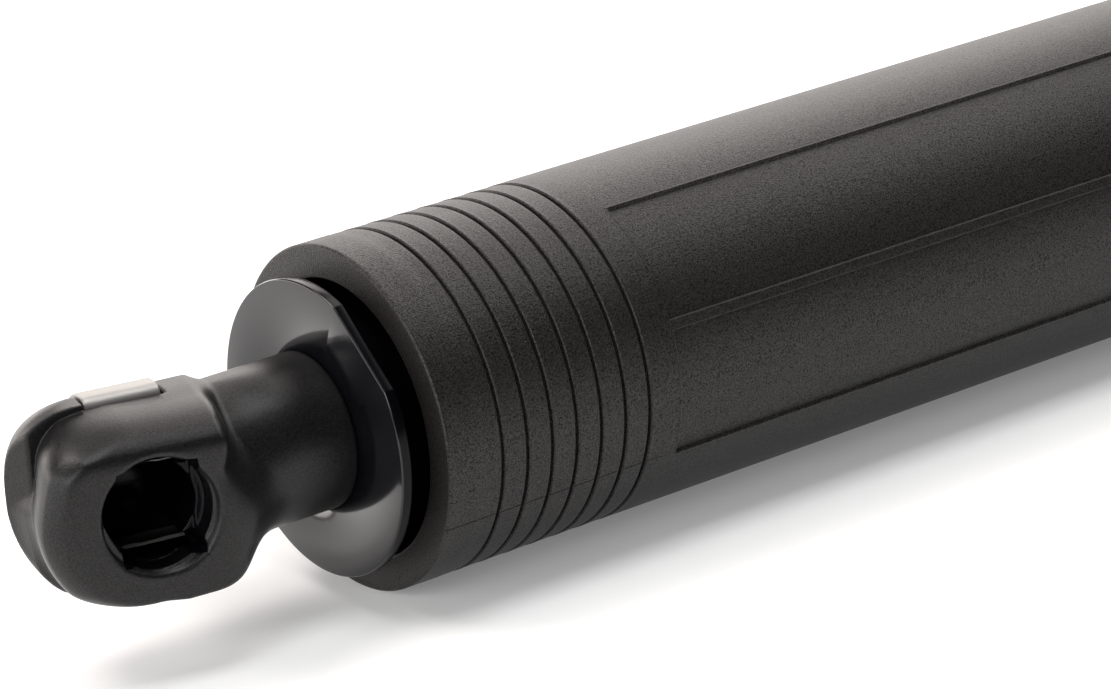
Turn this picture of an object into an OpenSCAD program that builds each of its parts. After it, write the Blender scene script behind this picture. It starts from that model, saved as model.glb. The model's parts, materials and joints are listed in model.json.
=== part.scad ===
// Powered tailgate strut: two telescoping tubes with a spindle drive and a coil spring inside.
// X runs along the tubes, from the centre of the near ball socket to the far one.
// The near ball socket opens towards -Y. The strut is drawn at its full length.

/* [Travel] */
// How far the far tube slides in
stroke = 200; // [120:5:220]
// How far a ball socket's clip is drawn out to free the ball
clip_travel = 2.5; // [1.5:0.1:2.6]

/* [Ball sockets] */
// Diameter of the ball stud
ball_d = 10; // [9.4:0.1:10.4]
// Radial play of the ball in its seat
ball_play = 0.05; // [0.02:0.01:0.1]
// Angle of the head away from square to the strut
head_bend = 13.2; // [0:0.1:15]
// Height of the head
head_height = 19.2; // [18.8:0.1:21]
// Ball centre to the open face
head_front = 8.9; // [8.6:0.1:9.6]
// Ball centre to the back
head_back = 8.2; // [7.6:0.1:9]
// Radius of the free end about the ball
head_far = 12; // [11:0.1:14]
// Ball centre to the end beside the neck
head_near = 9.1; // [7.8:0.1:9.4]
// Rounding of the open face's edges
front_round = 2.4; // [1:0.1:3]
// Rounding of the back's upper and lower edges
back_round = 5.8; // [3:0.1:6.5]
// Rounding of the back's free end
tail_round = 8; // [5:0.1:9]
// Ball centre to the front of the raised lobe behind it
lobe_front = 0.4; // [0.2:0.1:0.6]
// How far the lobe stands out from the head
lobe_rise = 0.45; // [0.2:0.05:0.6]
// Diameter of the mouth
mouth_d = 12.7; // [12.2:0.1:13.4]
// Depth of the mouth
mouth_depth = 2.4; // [1.8:0.1:2.8]
// Diameter of the neck
neck_d = 17.2; // [15:0.1:18]
// Ball centre to the end of the neck
neck_reach = 22.5; // [20:0.5:26]
// Diameter of the threaded stud in the neck
stud_d = 8; // [6:0.5:9]
// Depth of the stud in the neck
stud_depth = 11; // [8:0.5:12]

/* [Clip] */
// Thickness of the clip's sheet
clip_thick = 0.8; // [0.5:0.05:1]
// Width of the clip
clip_width = 8.2; // [6:0.1:9]
// How far the clip sits towards the neck
clip_shift = 0.4; // [0:0.1:0.8]
// Gap between the clip and its channel in the head
clip_gap = 0.15; // [0.1:0.01:0.3]
// Depth of the clip's channel
clip_sink = 0.4; // [0.3:0.05:1]
// Height of the clip's hooks from the ball's axis
hook_height = 4.1; // [3.6:0.1:4.4]

/* [Cover tube] */
// Outer diameter of the cover tube
cover_d = 38; // [37.8:0.1:40]
// Wall of the cover tube
cover_wall = 1.6; // [1.4:0.05:1.8]
// Wall of the thick collar
collar_wall = 3.7; // [3.4:0.1:4]
// Depth of the thick collar
collar_depth = 24; // [23:0.5:26]
// Start of the panels from the collar's face
panel_start = 30.4; // [28:0.2:36]
// Plain band between the panels and the far end
panel_margin = 12; // [8:1:30]
// Depth of the panels
panel_depth = 0.4; // [0.2:0.05:0.6]
// Angle that a panel spans
panel_span = 91; // [60:1:120]
// Angle of the first panel's middle from straight up
panel_turn = 70; // [0:1:90]
// Width of the rib along a panel's middle
rib_width = 1; // [0.6:0.1:2]
// Number of grooves round the collar
groove_count = 7; // [3:1:8]
// Collar's face to the first groove
groove_start = 6.97; // [5:0.01:8]
// Groove to groove
groove_pitch = 3.22; // [2:0.01:3.3]
// Width of a groove
groove_width = 0.5; // [0.3:0.05:0.8]
// Depth of a groove
groove_depth = 0.35; // [0.2:0.05:0.5]
// Length of tube that still overlaps at full length
tube_overlap = 38; // [30:1:60]

/* [End plugs] */
// How far the near plug's flange reaches past the collar's bore
flange_lip = 0.95; // [0.4:0.05:1.5]
// Thickness of the flange
flange_thick = 1.4; // [1.2:0.1:3]
// Gap between the flange and the cover tube
flange_gap = 2.6; // [1:0.1:3]
// Depth of the flats on the flanges
flat_depth = 0.95; // [0.5:0.05:2]
// Angle of the near flange's flat from straight up
flat_turn = 41.7; // [0:0.1:90]
// Diameter of the plug where it enters the cover tube
plug_d = 24.8; // [22:0.1:26]
// Thickness of the far plug's flange
far_flange_thick = 6; // [4:0.5:8]

/* [Housing tube] */
// Gap between the two tubes, which the slide rings fill
tube_gap = 1; // [0.8:0.05:1.3]
// Wall of the housing tube
housing_wall = 1.2; // [1:0.05:1.3]
// Running play of the slide rings
slide_play = 0.08; // [0.04:0.01:0.1]
// Length of a slide ring
slide_length = 9; // [6:0.5:14]

/* [Spindle] */
// Diameter of the spindle
spindle_d = 10; // [8:0.5:10.5]
// Running play of the spindle in its nut
nut_play = 0.06; // [0.02:0.01:0.1]
// Length of the nut
nut_length = 22; // [16:1:30]
// Wall of the push tube
push_wall = 1.6; // [1.2:0.1:1.8]

/* [Spring] */
// Diameter of the spring wire
wire_d = 3; // [2.4:0.1:3]
// Gap between the coils and the housing tube
coil_gap = 0.5; // [0.3:0.05:0.7]
// Number of coils
coil_count = 44; // [30:1:44]

/* [Gearbox] */
// Wall of the gearbox outside the ring gear's teeth
gear_wall = 1.76; // [1.5:0.02:2.2]
// Play between meshing teeth
backlash = 0.16; // [0.12:0.01:0.2]
// Width of the gears
gear_width = 7; // [5:0.5:8]

/* [Motor] */
// Thickness of the rubber between the motor and the housing tube
damper_thick = 1.15; // [0.8:0.05:2]
// Length of the motor's can
motor_length = 62; // [62:1:80]

/* [Hidden] */
$fn = 64;

// Clearances and small sizes
fit = 0.05;
face_gap = 0.3;
big = 60;

// Ball sockets
seat_r = ball_d / 2 + ball_play;
half_height = head_height / 2;
edge_round = 0.6;
flange_round = 0.4;
window_half = clip_width / 2 + 0.25;
clip_out = clip_gap + clip_thick - clip_sink;
leg_in = seat_r + 0.25;
leg_out = leg_in + clip_thick;
leg_back = lobe_front + 0.3;
leg_front = leg_back + clip_thick;
pocket_height = leg_out + 0.2;
notch_height = hook_height + 1;
leg_bend = -3.4;
hook_y = leg_bend - 1;
pocket_front = hook_y - 0.8;
pocket_back = leg_front + clip_travel + 0.2;
neck_start = (clip_shift + window_half + neck_d / 2 * sin(head_bend) + 0.4) / cos(head_bend);

// Tubes, from the outer one inwards
cover_r = cover_d / 2;
cover_bore = cover_r - cover_wall;
collar_bore = cover_r - collar_wall;
housing_r = cover_bore - tube_gap;
housing_bore = housing_r - housing_wall;
inner_r = housing_bore - fit;
coil_r = housing_bore - coil_gap - wire_d / 2;
rings_a_coil = 8;
sleeve_wall = 0.8;
sleeve_r = coil_r * cos(180 / rings_a_coil) - wire_d / 2 - 0.4 - sleeve_wall;
push_r = sleeve_r - face_gap;
push_bore = push_r - push_wall;

// Near end
flange_x = neck_reach;
flange_r = collar_bore + flange_lip;
flat_reach = flange_r - flat_depth;
collar_x = flange_x + flange_thick + flange_gap;
shoulder_x = collar_x + 9;
shoulder_r = collar_bore - fit;
shoulder_end = shoulder_x + 8;
seat_thick = 2;
spring_x = shoulder_end + seat_thick;
spigot_end = shoulder_end + 15;
step_x = collar_x + collar_depth;
seal_x = shoulder_x + 5.5;
seal_r = 0.9;
lock_x = shoulder_x + 2;
lock_r = 0.7;
ring_gap = 4;

// Spindle and nut
tip_length = 8;
tip_x = spigot_end + 2 + stroke;
clip_x = tip_x + tip_length - 1.3;
nut_x = tip_x + tip_length + 2;
nut_end = nut_x + nut_length;
bearing_x = nut_end + 3 + stroke;
spindle_r = spindle_d / 2;
journal_r = spindle_r - 1;

// Places along the tubes
housing_x = step_x + 3 + stroke;
cover_end = housing_x + tube_overlap;
sleeve_x = spring_x + 3 + stroke;
lower_seat_x = bearing_x - seat_thick;
bead_r = 0.45;
bearing_bead_x = bearing_x + 7;

// Spring
coil_round = 2 * PI * coil_r;
spring_rise = lower_seat_x - spring_x - wire_d;
coil_pitch = spring_rise / coil_count;
wire_sides = 6;
wire_rings = coil_count * rings_a_coil + 1;
wire_gap = coil_pitch * cos(atan(coil_pitch / coil_round)) - wire_d;
echo("least gap between the spring's coils at rest, mm", wire_gap);

// Bearing
race_x = bearing_x + 3;
race_width = 7;
ball_x = race_x + race_width / 2;
race_r = 11;
race_middle = 7.5;
bearing_ball_r = 1.6;
bearing_ball_count = 9;
ring_wall = 2.6;
bearing_end = bearing_x + 14;

// Gearbox
gear_x = bearing_end + 4;
gear_r = inner_r - 0.25;
sun_teeth = 12;
planet_teeth = 15;
ring_teeth = sun_teeth + 2 * planet_teeth;
root_share = 0.9;
gear_module = (gear_r - gear_wall) / (ring_teeth / 2 + root_share);
sun_r = gear_module * sun_teeth / 2;
planet_r = gear_module * planet_teeth / 2;
ring_r = gear_module * ring_teeth / 2;
orbit_r = sun_r + planet_r;
addendum = 0.7 * gear_module;
dedendum = root_share * gear_module;
pressure = 25;
carrier_thick = 3;
carrier_r = ring_r - addendum - 0.4;
pin_r = 1.5;
sun_shaft_r = 2.4;
hub_x = gear_x - 3.4;
hub_r = journal_r + 3.4;
drive_pin_x = gear_x - 1.8;
drive_pin_r = 1.2;
out_carrier_x = gear_x + 4.5;
out_gear_x = out_carrier_x + carrier_thick + 1;
in_carrier_x = out_gear_x + gear_width + 1.5;
in_gear_x = in_carrier_x + carrier_thick + 1;
gear_end = in_gear_x + gear_width + 4;
plate_thick = 3;

// Motor
motor_x = gear_end + plate_thick;
motor_r = inner_r - damper_thick;
can_bore = motor_r - 1.1;
motor_end = motor_x + motor_length;
bush_r = 3.4;
shaft_r = 1.6;
shaft_x = in_gear_x + 1;
armature_r = can_bore - 2.7;
slot_count = 5;
slot_r = 2;
slot_middle = armature_r - slot_r - 1.6;
winding_r = slot_middle + slot_r + 0.1;
armature_x = motor_x + 10;
armature_end = motor_end - 17;
commutator_x = motor_end - 11;
commutator_r = 4;
commutator_width = 7;
brake_x = motor_end + 1;
brake_r = motor_r - 5;
brake_end = brake_x + 10;
magnet_r = 4;
shaft_end = brake_end + 1;
magnet_x = brake_end - 2.5;
board_x = brake_end + 4.5;
board_thick = 1.6;

// Far end
plug_x = board_x + board_thick + 1.5;
housing_end = plug_x + 9;
far_seal_x = plug_x + 1.8;
plug_bead_x = plug_x + 5;
far_flange_x = housing_end + far_flange_thick;
far_ball_x = far_flange_x + neck_reach;
gland_reach = 12.5;
gland_r = 2.6;
gland_bore = 1.7;
gland_flange_r = 3.6;
gland_x = far_flange_x + 2.5;

// A round bar along X
module bar(from, to, radius) {
    translate([from, 0, 0])
        rotate([0, 90, 0])
            cylinder(r = radius, h = to - from);
}

// A round tube along X
module pipe(from, to, outer, inner) {
    difference() {
        bar(from, to, outer);
        bar(from - 1, to + 1, inner);
    }
}

// A ring with a round section
module loop(at, middle, radius) {
    translate([at, 0, 0])
        rotate([0, 90, 0])
            rotate_extrude()
                translate([middle, 0])
                    circle(r = radius);
}

// What a rounded corner leaves out, for a corner at the origin
module corner(radius) {
    difference() {
        translate([-1, -1])
            square(radius + 1);
        translate([radius, radius])
            circle(r = radius);
    }
}

// A rectangle whose four corners each have their own rounding
module rounded(low, high, radii) {
    difference() {
        translate(low)
            square([high[0] - low[0], high[1] - low[1]]);
        translate(low)
            corner(radii[0]);
        translate([high[0], low[1]])
            rotate(90)
                corner(radii[1]);
        translate(high)
            rotate(180)
                corner(radii[2]);
        translate([low[0], high[1]])
            rotate(270)
                corner(radii[3]);
    }
}

// Draws a YZ outline and stretches it along X
module across(from, to) {
    translate([from, 0, 0])
        rotate([90, 0, 90])
            linear_extrude(height = to - from)
                children();
}

// The head's outline from its end, with room to grow all round
module head_side(grow) {
    rounded(
        [-head_front - grow, -half_height - grow],
        [head_back + grow, half_height + grow],
        [front_round + grow, back_round + grow, back_round + grow, front_round + grow]
    );
}

// Moves a drawn socket or clip from the ball's own axes to the near end
module near_end() {
    rotate([0, 0, -head_bend])
        children();
}

// Moves a drawn near end to the far end, facing the other way
module far_end() {
    translate([far_ball_x, 0, 0])
        mirror([1, 0, 0])
            children();
}

// The head's form without its holes, with room to grow all round
module head_form(grow) {
    far = head_far + grow;
    half = half_height + grow;
    intersection() {
        across(-far, head_near)
            head_side(grow);
        translate([0, big / 2, 0])
            rotate([90, 0, 0])
                linear_extrude(height = big) {
                    intersection() {
                        circle(r = far);
                        translate([-far, -half])
                            square([far, 2 * half]);
                    }
                    rounded(
                        [-half_height / 2, -half],
                        [head_near, half],
                        [edge_round, front_round, edge_round, edge_round]
                    );
                }
        translate([0, 0, -big / 2])
            linear_extrude(height = big)
                rounded(
                    [-far, -head_front],
                    [head_near, head_back + grow],
                    [front_round, edge_round, edge_round, tail_round]
                );
    }
}

// The head with its raised lobe and the clip's channel round its back
module head_block() {
    difference() {
        union() {
            head_form(0);
            intersection() {
                head_form(lobe_rise);
                translate([-big, lobe_front, -big / 2])
                    cube(big);
            }
        }
        difference() {
            window(leg_back - 0.2, big / 2, -big / 2, big / 2);
            across(-big / 2, big / 2)
                head_side(-clip_sink);
        }
    }
}

// A hole along the ball's axis, from one Y to another
module mouth_hole(from, to, radius) {
    translate([0, to, 0])
        rotate([90, 0, 0])
            cylinder(r = radius, h = to - from);
}

// A box as wide as the clip's windows, from one Y and Z to another
module window(from, to, low, high) {
    translate([clip_shift - window_half, from, low])
        cube([2 * window_half, to - from, high - low]);
}

module ball_socket() {
    color([0.16, 0.16, 0.165])
        difference() {
            union() {
                near_end()
                    head_block();
                bar(neck_start, neck_reach, neck_d / 2);
                intersection() {
                    bar(clip_shift, neck_start, neck_d / 2);
                    near_end()
                        translate([-big / 2, -big, -big / 2])
                            cube(big);
                }
            }
            near_end() {
                sphere(r = seat_r);
                mouth_hole(-head_front - 4, 0, seat_r);
                mouth_hole(-head_front - 4, -head_front + mouth_depth, mouth_d / 2);
                for (side = [0, 1])
                    mirror([0, 0, side]) {
                        window(pocket_front, pocket_back, hook_height - 0.2, pocket_height);
                        window(leg_back - 0.2, pocket_back, hook_height - 0.2, big / 2);
                    }
                window(-head_front - 1, pocket_front + 0.1, -notch_height, notch_height);
            }
            bar(neck_reach - stud_depth, neck_reach + 1, stud_d / 2 + fit);
        }
}

// The spring clip that holds the ball: it passes over the back and dives in through both windows
module ball_clip() {
    color([0.72, 0.73, 0.74])
        near_end()
            difference() {
                across(clip_shift - clip_width / 2, clip_shift + clip_width / 2) {
                    intersection() {
                        difference() {
                            head_side(clip_out);
                            head_side(clip_out - clip_thick);
                        }
                        translate([leg_back, -big / 2])
                            square([big, big]);
                    }
                    for (side = [0, 1])
                        mirror([0, side])
                            clip_leg();
                }
                mouth_hole(hook_y - 2, leg_back - 2, hook_height + 0.5);
            }
}

module clip_leg() {
    translate([leg_back, leg_in])
        square([clip_thick, half_height + clip_out - clip_thick / 2 - leg_in]);
    translate([leg_bend, leg_in])
        square([leg_front - leg_bend, clip_thick]);
    polygon([
        [leg_bend, leg_in],
        [leg_bend, leg_out],
        [hook_y - 0.3, hook_height + 0.4],
        [hook_y, hook_height]
    ]);
}

module upper_ball_socket() {
    ball_socket();
}

module upper_clip() {
    ball_clip();
}

// Cuts the side off a disc at a distance from its axis, in a direction turned from straight up
module flat_cut(from, to, reach, turn) {
    rotate([turn, 0, 0])
        translate([from - 1, -big / 2, reach])
            cube([to - from + 2, big, big]);
}

module upper_end_plug() {
    color([0.13, 0.13, 0.135])
        difference() {
            union() {
                bar(neck_reach - stud_depth + 1, flange_x + 1, stud_d / 2);
                difference() {
                    translate([flange_x, 0, 0])
                        rotate([0, 90, 0])
                            rotate_extrude()
                                intersection() {
                                    rounded(
                                        [-flange_r, 0],
                                        [flange_r, flange_thick],
                                        [flange_round, flange_round, 0.3, 0.3]
                                    );
                                    square([big, big]);
                                }
                    flat_cut(flange_x, flange_x + flange_thick, flat_reach, flat_turn);
                }
                bar(flange_x + flange_thick - 0.1, shoulder_x + 1, plug_d / 2);
                bar(shoulder_x, shoulder_end, shoulder_r);
                bar(shoulder_end - 1, spigot_end, push_bore - fit);
            }
            pipe(
                seal_x - seal_r - fit,
                seal_x + seal_r + fit,
                shoulder_r + 1,
                shoulder_r - 2 * seal_r
            );
            loop(lock_x, shoulder_r, lock_r + fit);
        }
}

module cover_seal() {
    color([0.1, 0.1, 0.1])
        loop(seal_x, shoulder_r - seal_r + fit / 2, seal_r);
}

// A snap ring of round wire with a gap, half in the plug and half in the collar
module cover_lock_ring() {
    color([0.55, 0.56, 0.57])
        difference() {
            loop(lock_x, shoulder_r, lock_r);
            rotate([180, 0, 0])
                translate([lock_x - 2 * lock_r, -ring_gap / 2, 0])
                    cube([4 * lock_r, ring_gap, big]);
        }
}

// A wedge along X whose middle points a turn away from straight up
module wedge(from, to, turn, span) {
    half = span / 2;
    rotate([turn, 0, 0])
        across(from, to)
            polygon([[0, 0], [-big * tan(half), big], [big * tan(half), big]]);
}

module cover_panels() {
    for (turn = [panel_turn, panel_turn + 180])
        difference() {
            intersection() {
                pipe(
                    collar_x + panel_start,
                    cover_end - panel_margin,
                    cover_r + 1,
                    cover_r - panel_depth
                );
                wedge(collar_x, cover_end, turn, panel_span);
            }
            rotate([turn, 0, 0])
                translate([collar_x, -rib_width / 2, 0])
                    cube([cover_end - collar_x, rib_width, big]);
        }
}

module cover_tube() {
    color([0.2, 0.195, 0.19])
        difference() {
            bar(collar_x, cover_end, cover_r);
            bar(collar_x - 1, cover_end + 1, collar_bore);
            bar(step_x, cover_end + 1, cover_bore);
            loop(lock_x, shoulder_r, lock_r + fit);
            for (i = [0 : groove_count - 1])
                pipe(
                    collar_x + groove_start + i * groove_pitch - groove_width / 2,
                    collar_x + groove_start + i * groove_pitch + groove_width / 2,
                    cover_r + 1,
                    cover_r - groove_depth
                );
            cover_panels();
        }
}

// Guides the housing tube in the cover tube's open end
module cover_slide_ring() {
    color([0.1, 0.1, 0.1])
        pipe(cover_end - slide_length, cover_end, cover_bore, housing_r + slide_play);
}

module upper_spring_seat() {
    color([0.3, 0.3, 0.3])
        pipe(shoulder_end, spring_x, shoulder_r - 0.3, push_r + fit);
}

module push_tube() {
    color([0.6, 0.61, 0.62])
        pipe(shoulder_end, nut_end, push_r, push_bore);
}

module spindle_nut() {
    color([0.85, 0.82, 0.72])
        pipe(nut_x, nut_end, push_bore, spindle_r + nut_play);
}

// One ring of points round the spring wire, at a share of its way
function wire_ring(share) =
    let (
        turn = 360 * coil_count * share,
        out = [0, sin(turn), cos(turn)],
        middle = [spring_x + wire_d / 2 + spring_rise * share, 0, 0] + coil_r * out,
        run = [coil_pitch, coil_round * cos(turn), -coil_round * sin(turn)],
        side = cross(run / norm(run), out)
    )
    [
        for (i = [0 : wire_sides - 1])
            let (a = 360 * i / wire_sides)
            middle + wire_d / 2 * (cos(a) * out + sin(a) * side)
    ];

module spring() {
    points = [for (k = [0 : wire_rings - 1]) each wire_ring(k / (wire_rings - 1))];
    walls = [
        for (k = [0 : wire_rings - 2], i = [0 : wire_sides - 1])
            let (
                a = k * wire_sides + i,
                b = k * wire_sides + (i + 1) % wire_sides
            )
            each [[a, b, b + wire_sides], [a, b + wire_sides, a + wire_sides]]
    ];
    last = (wire_rings - 1) * wire_sides;
    caps = [
        for (i = [1 : wire_sides - 2])
            each [[0, i + 1, i], [last, last + i, last + i + 1]]
    ];
    color([0.45, 0.46, 0.48])
        polyhedron(points = points, faces = concat(walls, caps));
}

// Two beads rolled into the tube hold the bearing and the far plug
module housing_tube() {
    color([0.08, 0.08, 0.085])
        difference() {
            union() {
                pipe(housing_x, housing_end, housing_r, housing_bore);
                for (at = [bearing_bead_x, plug_bead_x])
                    intersection() {
                        bar(at - 3, at + 3, housing_r);
                        loop(at, housing_r, housing_wall + bead_r);
                    }
            }
            for (at = [bearing_bead_x, plug_bead_x])
                loop(at, housing_r, bead_r);
        }
}

// Sits over the housing tube's end and runs in the cover tube
module housing_slide_ring() {
    color([0.75, 0.75, 0.72])
        union() {
            pipe(housing_x, housing_x + slide_length, cover_bore - slide_play, housing_r + fit);
            pipe(housing_x - 1.5, housing_x, cover_bore - slide_play, housing_bore + fit);
        }
}

module spring_sleeve() {
    color([0.8, 0.8, 0.78])
        pipe(sleeve_x, bearing_x, sleeve_r + sleeve_wall, sleeve_r);
}

module lower_spring_seat() {
    color([0.3, 0.3, 0.3])
        pipe(lower_seat_x, bearing_x, inner_r - 0.3, sleeve_r + sleeve_wall + fit);
}

module bearing_housing() {
    color([0.68, 0.69, 0.7])
        difference() {
            bar(bearing_x, bearing_end, inner_r);
            bar(bearing_x - 1, bearing_end + 1, 8);
            bar(race_x, bearing_end + 1, race_r + fit / 5);
            pipe(race_x + race_width, race_x + race_width + 1.2, race_r + 1, race_r - 1);
            loop(bearing_bead_x, housing_r, housing_wall + bead_r + fit);
        }
}

module race(outer, inner) {
    difference() {
        pipe(race_x, race_x + race_width, outer, inner);
        loop(ball_x, race_middle, bearing_ball_r + fit);
    }
}

module bearing_outer_ring() {
    color([0.75, 0.76, 0.77])
        race(race_r, race_r - ring_wall);
}

module bearing_inner_ring() {
    color([0.75, 0.76, 0.77])
        race(journal_r + ring_wall, journal_r + fit / 5);
}

module bearing_snap_ring() {
    color([0.5, 0.5, 0.52])
        difference() {
            pipe(race_x + race_width + 0.1, race_x + race_width + 1.1, race_r + 0.8, race_r - 2);
            translate([race_x, -2, 0])
                cube([big, 4, big]);
        }
}

module bearing_balls() {
    color([0.8, 0.81, 0.82])
        for (i = [0 : bearing_ball_count - 1])
            rotate([360 / bearing_ball_count * i, 0, 0])
                translate([ball_x, 0, race_middle])
                    sphere(r = bearing_ball_r);
}

// Holds the balls apart: a ring with one pocket for each ball
module bearing_cage() {
    color([0.62, 0.5, 0.28])
        difference() {
            pipe(ball_x, ball_x + 2.2, race_middle + 0.6, race_middle - 0.6);
            for (i = [0 : bearing_ball_count - 1])
                rotate([360 / bearing_ball_count * i, 0, 0])
                    translate([ball_x, 0, race_middle - 2])
                        cylinder(r = bearing_ball_r + 2 * fit, h = 4);
        }
}

module spindle() {
    color([0.7, 0.71, 0.72])
        difference() {
            union() {
                bar(tip_x, bearing_x - 1, spindle_r);
                bar(bearing_x - 1, race_x, journal_r + 1.8);
                bar(race_x - 0.5, gear_x + 3, journal_r);
            }
            pipe(clip_x, clip_x + 1.3, spindle_r + 1, spindle_r - 1);
            drive_pin_hole(fit / 2);
        }
}

module spindle_tip_guide() {
    color([0.8, 0.8, 0.78])
        pipe(tip_x, clip_x - 0.2, push_bore - 0.1, spindle_r + fit / 2);
}

module tip_clip() {
    color([0.5, 0.5, 0.52])
        difference() {
            pipe(clip_x + 0.1, clip_x + 1.2, spindle_r + 1.6, spindle_r - 0.9);
            rotate([90, 0, 0])
                translate([tip_x, -3, 0])
                    cube([big, 6, big]);
        }
}

module spindle_lock_nut() {
    color([0.5, 0.5, 0.52])
        difference() {
            translate([race_x + race_width, 0, 0])
                rotate([0, 90, 0])
                    cylinder(r = journal_r + 3, h = 3.4, $fn = 6);
            bar(race_x, bearing_end + 1, journal_r + fit / 2);
        }
}

// A cross hole along Z for the pin that joins the spindle to the output carrier
module drive_pin_hole(extra) {
    translate([drive_pin_x, 0, -hub_r - 1])
        cylinder(r = drive_pin_r + extra, h = 2 * hub_r + 2);
}

module drive_pin() {
    color([0.6, 0.61, 0.62])
        translate([drive_pin_x, 0, 0.8 - hub_r])
            cylinder(r = drive_pin_r, h = 2 * hub_r - 1.6);
}

// Angle, in degrees, by which an involute turns at a pressure angle
function involute(angle) = tan(angle) * 180 / PI - angle;
// Half the angle of a tooth at a radius
function tooth_half(radius, pitch_r, middle) =
    middle + involute(pressure) - involute(acos(min(1, pitch_r * cos(pressure) / radius)));
function spot(radius, angle) = [radius * cos(angle), radius * sin(angle)];

// A gear's outline. Play narrows each tooth, and negative play widens it.
module gear_outline(teeth, play, low, high) {
    pitch_r = gear_module * teeth / 2;
    middle = 90 / teeth - play / 4 / pitch_r * 180 / PI;
    radii = [pitch_r - low, pitch_r, pitch_r + high];
    halves = [for (r = radii) tooth_half(r, pitch_r, middle)];
    polygon([
        for (k = [0 : teeth - 1])
            each [
                for (i = [0 : 2]) spot(radii[i], 360 * k / teeth - halves[i]),
                for (i = [2 : -1 : 0]) spot(radii[i], 360 * k / teeth + halves[i])
            ]
    ]);
}

// Stretches a gear's outline along X, with the outline's first tooth pointing up
module gear_bar(from, to) {
    translate([from, 0, 0])
        rotate([0, 90, 0])
            linear_extrude(height = to - from)
                rotate(180)
                    children();
}

module sun_gear(from, bore) {
    difference() {
        gear_bar(from, from + gear_width + 0.5)
            gear_outline(sun_teeth, backlash, dedendum, addendum);
        bar(from - 1, from + gear_width + 2, bore);
    }
}

// Places a child on one of the three planets' axes
module on_orbit(index) {
    rotate([120 * index, 0, 0])
        translate([0, 0, orbit_r])
            children();
}

module planet_gear(from, index) {
    color([0.85, 0.82, 0.72])
        on_orbit(index)
            difference() {
                gear_bar(from, from + gear_width)
                    gear_outline(planet_teeth, backlash, dedendum, addendum);
                bar(from - 1, from + gear_width + 1, pin_r + fit);
            }
}

module planet_pins(carrier_x, from) {
    color([0.75, 0.76, 0.77])
        for (index = [0 : 2])
            on_orbit(index)
                bar(carrier_x, from + gear_width + 0.3, pin_r);
}

module pin_holes(from) {
    for (index = [0 : 2])
        on_orbit(index)
            bar(from, from + carrier_thick + 1, pin_r);
}

module carrier_disc(from) {
    difference() {
        bar(from, from + carrier_thick, carrier_r);
        pin_holes(from);
    }
}

module output_carrier() {
    color([0.66, 0.67, 0.68])
        difference() {
            union() {
                carrier_disc(out_carrier_x);
                bar(hub_x, out_carrier_x + 0.1, hub_r);
            }
            bar(hub_x - 1, gear_x + 3.2, journal_r + fit / 2);
            drive_pin_hole(fit / 2);
            pin_holes(out_carrier_x);
        }
}

module output_pins() {
    planet_pins(out_carrier_x, out_gear_x);
}

module output_planet_1() {
    planet_gear(out_gear_x, 0);
}

module output_planet_2() {
    planet_gear(out_gear_x, 1);
}

module output_planet_3() {
    planet_gear(out_gear_x, 2);
}

module output_sun() {
    color([0.6, 0.61, 0.62])
        union() {
            sun_gear(out_gear_x, 0.8);
            bar(out_gear_x + gear_width + 0.4, in_carrier_x + carrier_thick, sun_shaft_r);
        }
}

module input_carrier() {
    color([0.66, 0.67, 0.68])
        difference() {
            carrier_disc(in_carrier_x);
            bar(in_carrier_x - 1, in_carrier_x + carrier_thick + 1, sun_shaft_r);
        }
}

module input_pins() {
    planet_pins(in_carrier_x, in_gear_x);
}

module input_planet_1() {
    planet_gear(in_gear_x, 0);
}

module input_planet_2() {
    planet_gear(in_gear_x, 1);
}

module input_planet_3() {
    planet_gear(in_gear_x, 2);
}

module input_sun() {
    color([0.6, 0.61, 0.62])
        sun_gear(in_gear_x, shaft_r);
}

module gearbox_damper() {
    color([0.1, 0.1, 0.1])
        pipe(bearing_end, gear_x, gear_r - 0.4, hub_r + 1.6);
}

module gearbox_housing() {
    color([0.16, 0.17, 0.2])
        difference() {
            bar(gear_x, gear_end, gear_r);
            bar(gear_x - 1, gear_x + 5, hub_r + fit);
            gear_bar(gear_x + 3.5, gear_end + 1)
                gear_outline(ring_teeth, -backlash, addendum, dedendum);
        }
}

module motor_plate() {
    color([0.6, 0.61, 0.62])
        pipe(gear_end, motor_x, gear_r, bush_r + 1.8);
}

module motor_can() {
    color([0.5, 0.51, 0.52])
        difference() {
            bar(motor_x, motor_end, motor_r);
            bar(motor_x + 1.2, motor_end + 1, can_bore);
            bar(motor_x - 1, motor_x + 3, bush_r + fit);
        }
}

module front_bush() {
    color([0.75, 0.6, 0.3])
        pipe(motor_x, motor_x + 4, bush_r, shaft_r + fit / 2);
}

module motor_magnets() {
    color([0.25, 0.25, 0.26])
        difference() {
            pipe(armature_x - 2, armature_end + 2, can_bore - fit, armature_r + 0.4);
            for (turn = [0, 180])
                wedge(armature_x - 3, armature_end + 3, turn, 60);
        }
}

module motor_shaft() {
    color([0.75, 0.76, 0.77])
        bar(shaft_x, shaft_end, shaft_r);
}

module armature() {
    color([0.42, 0.43, 0.45])
        difference() {
            pipe(armature_x, armature_end, armature_r, shaft_r);
            for (i = [0 : slot_count - 1])
                rotate([360 / slot_count * i, 0, 0]) {
                    translate([armature_x - 1, -0.6, slot_middle])
                        cube([armature_end - armature_x + 2, 1.2, armature_r]);
                    translate([0, 0, slot_middle])
                        bar(armature_x - 1, armature_end + 1, slot_r + 0.1);
                }
        }
}

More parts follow.
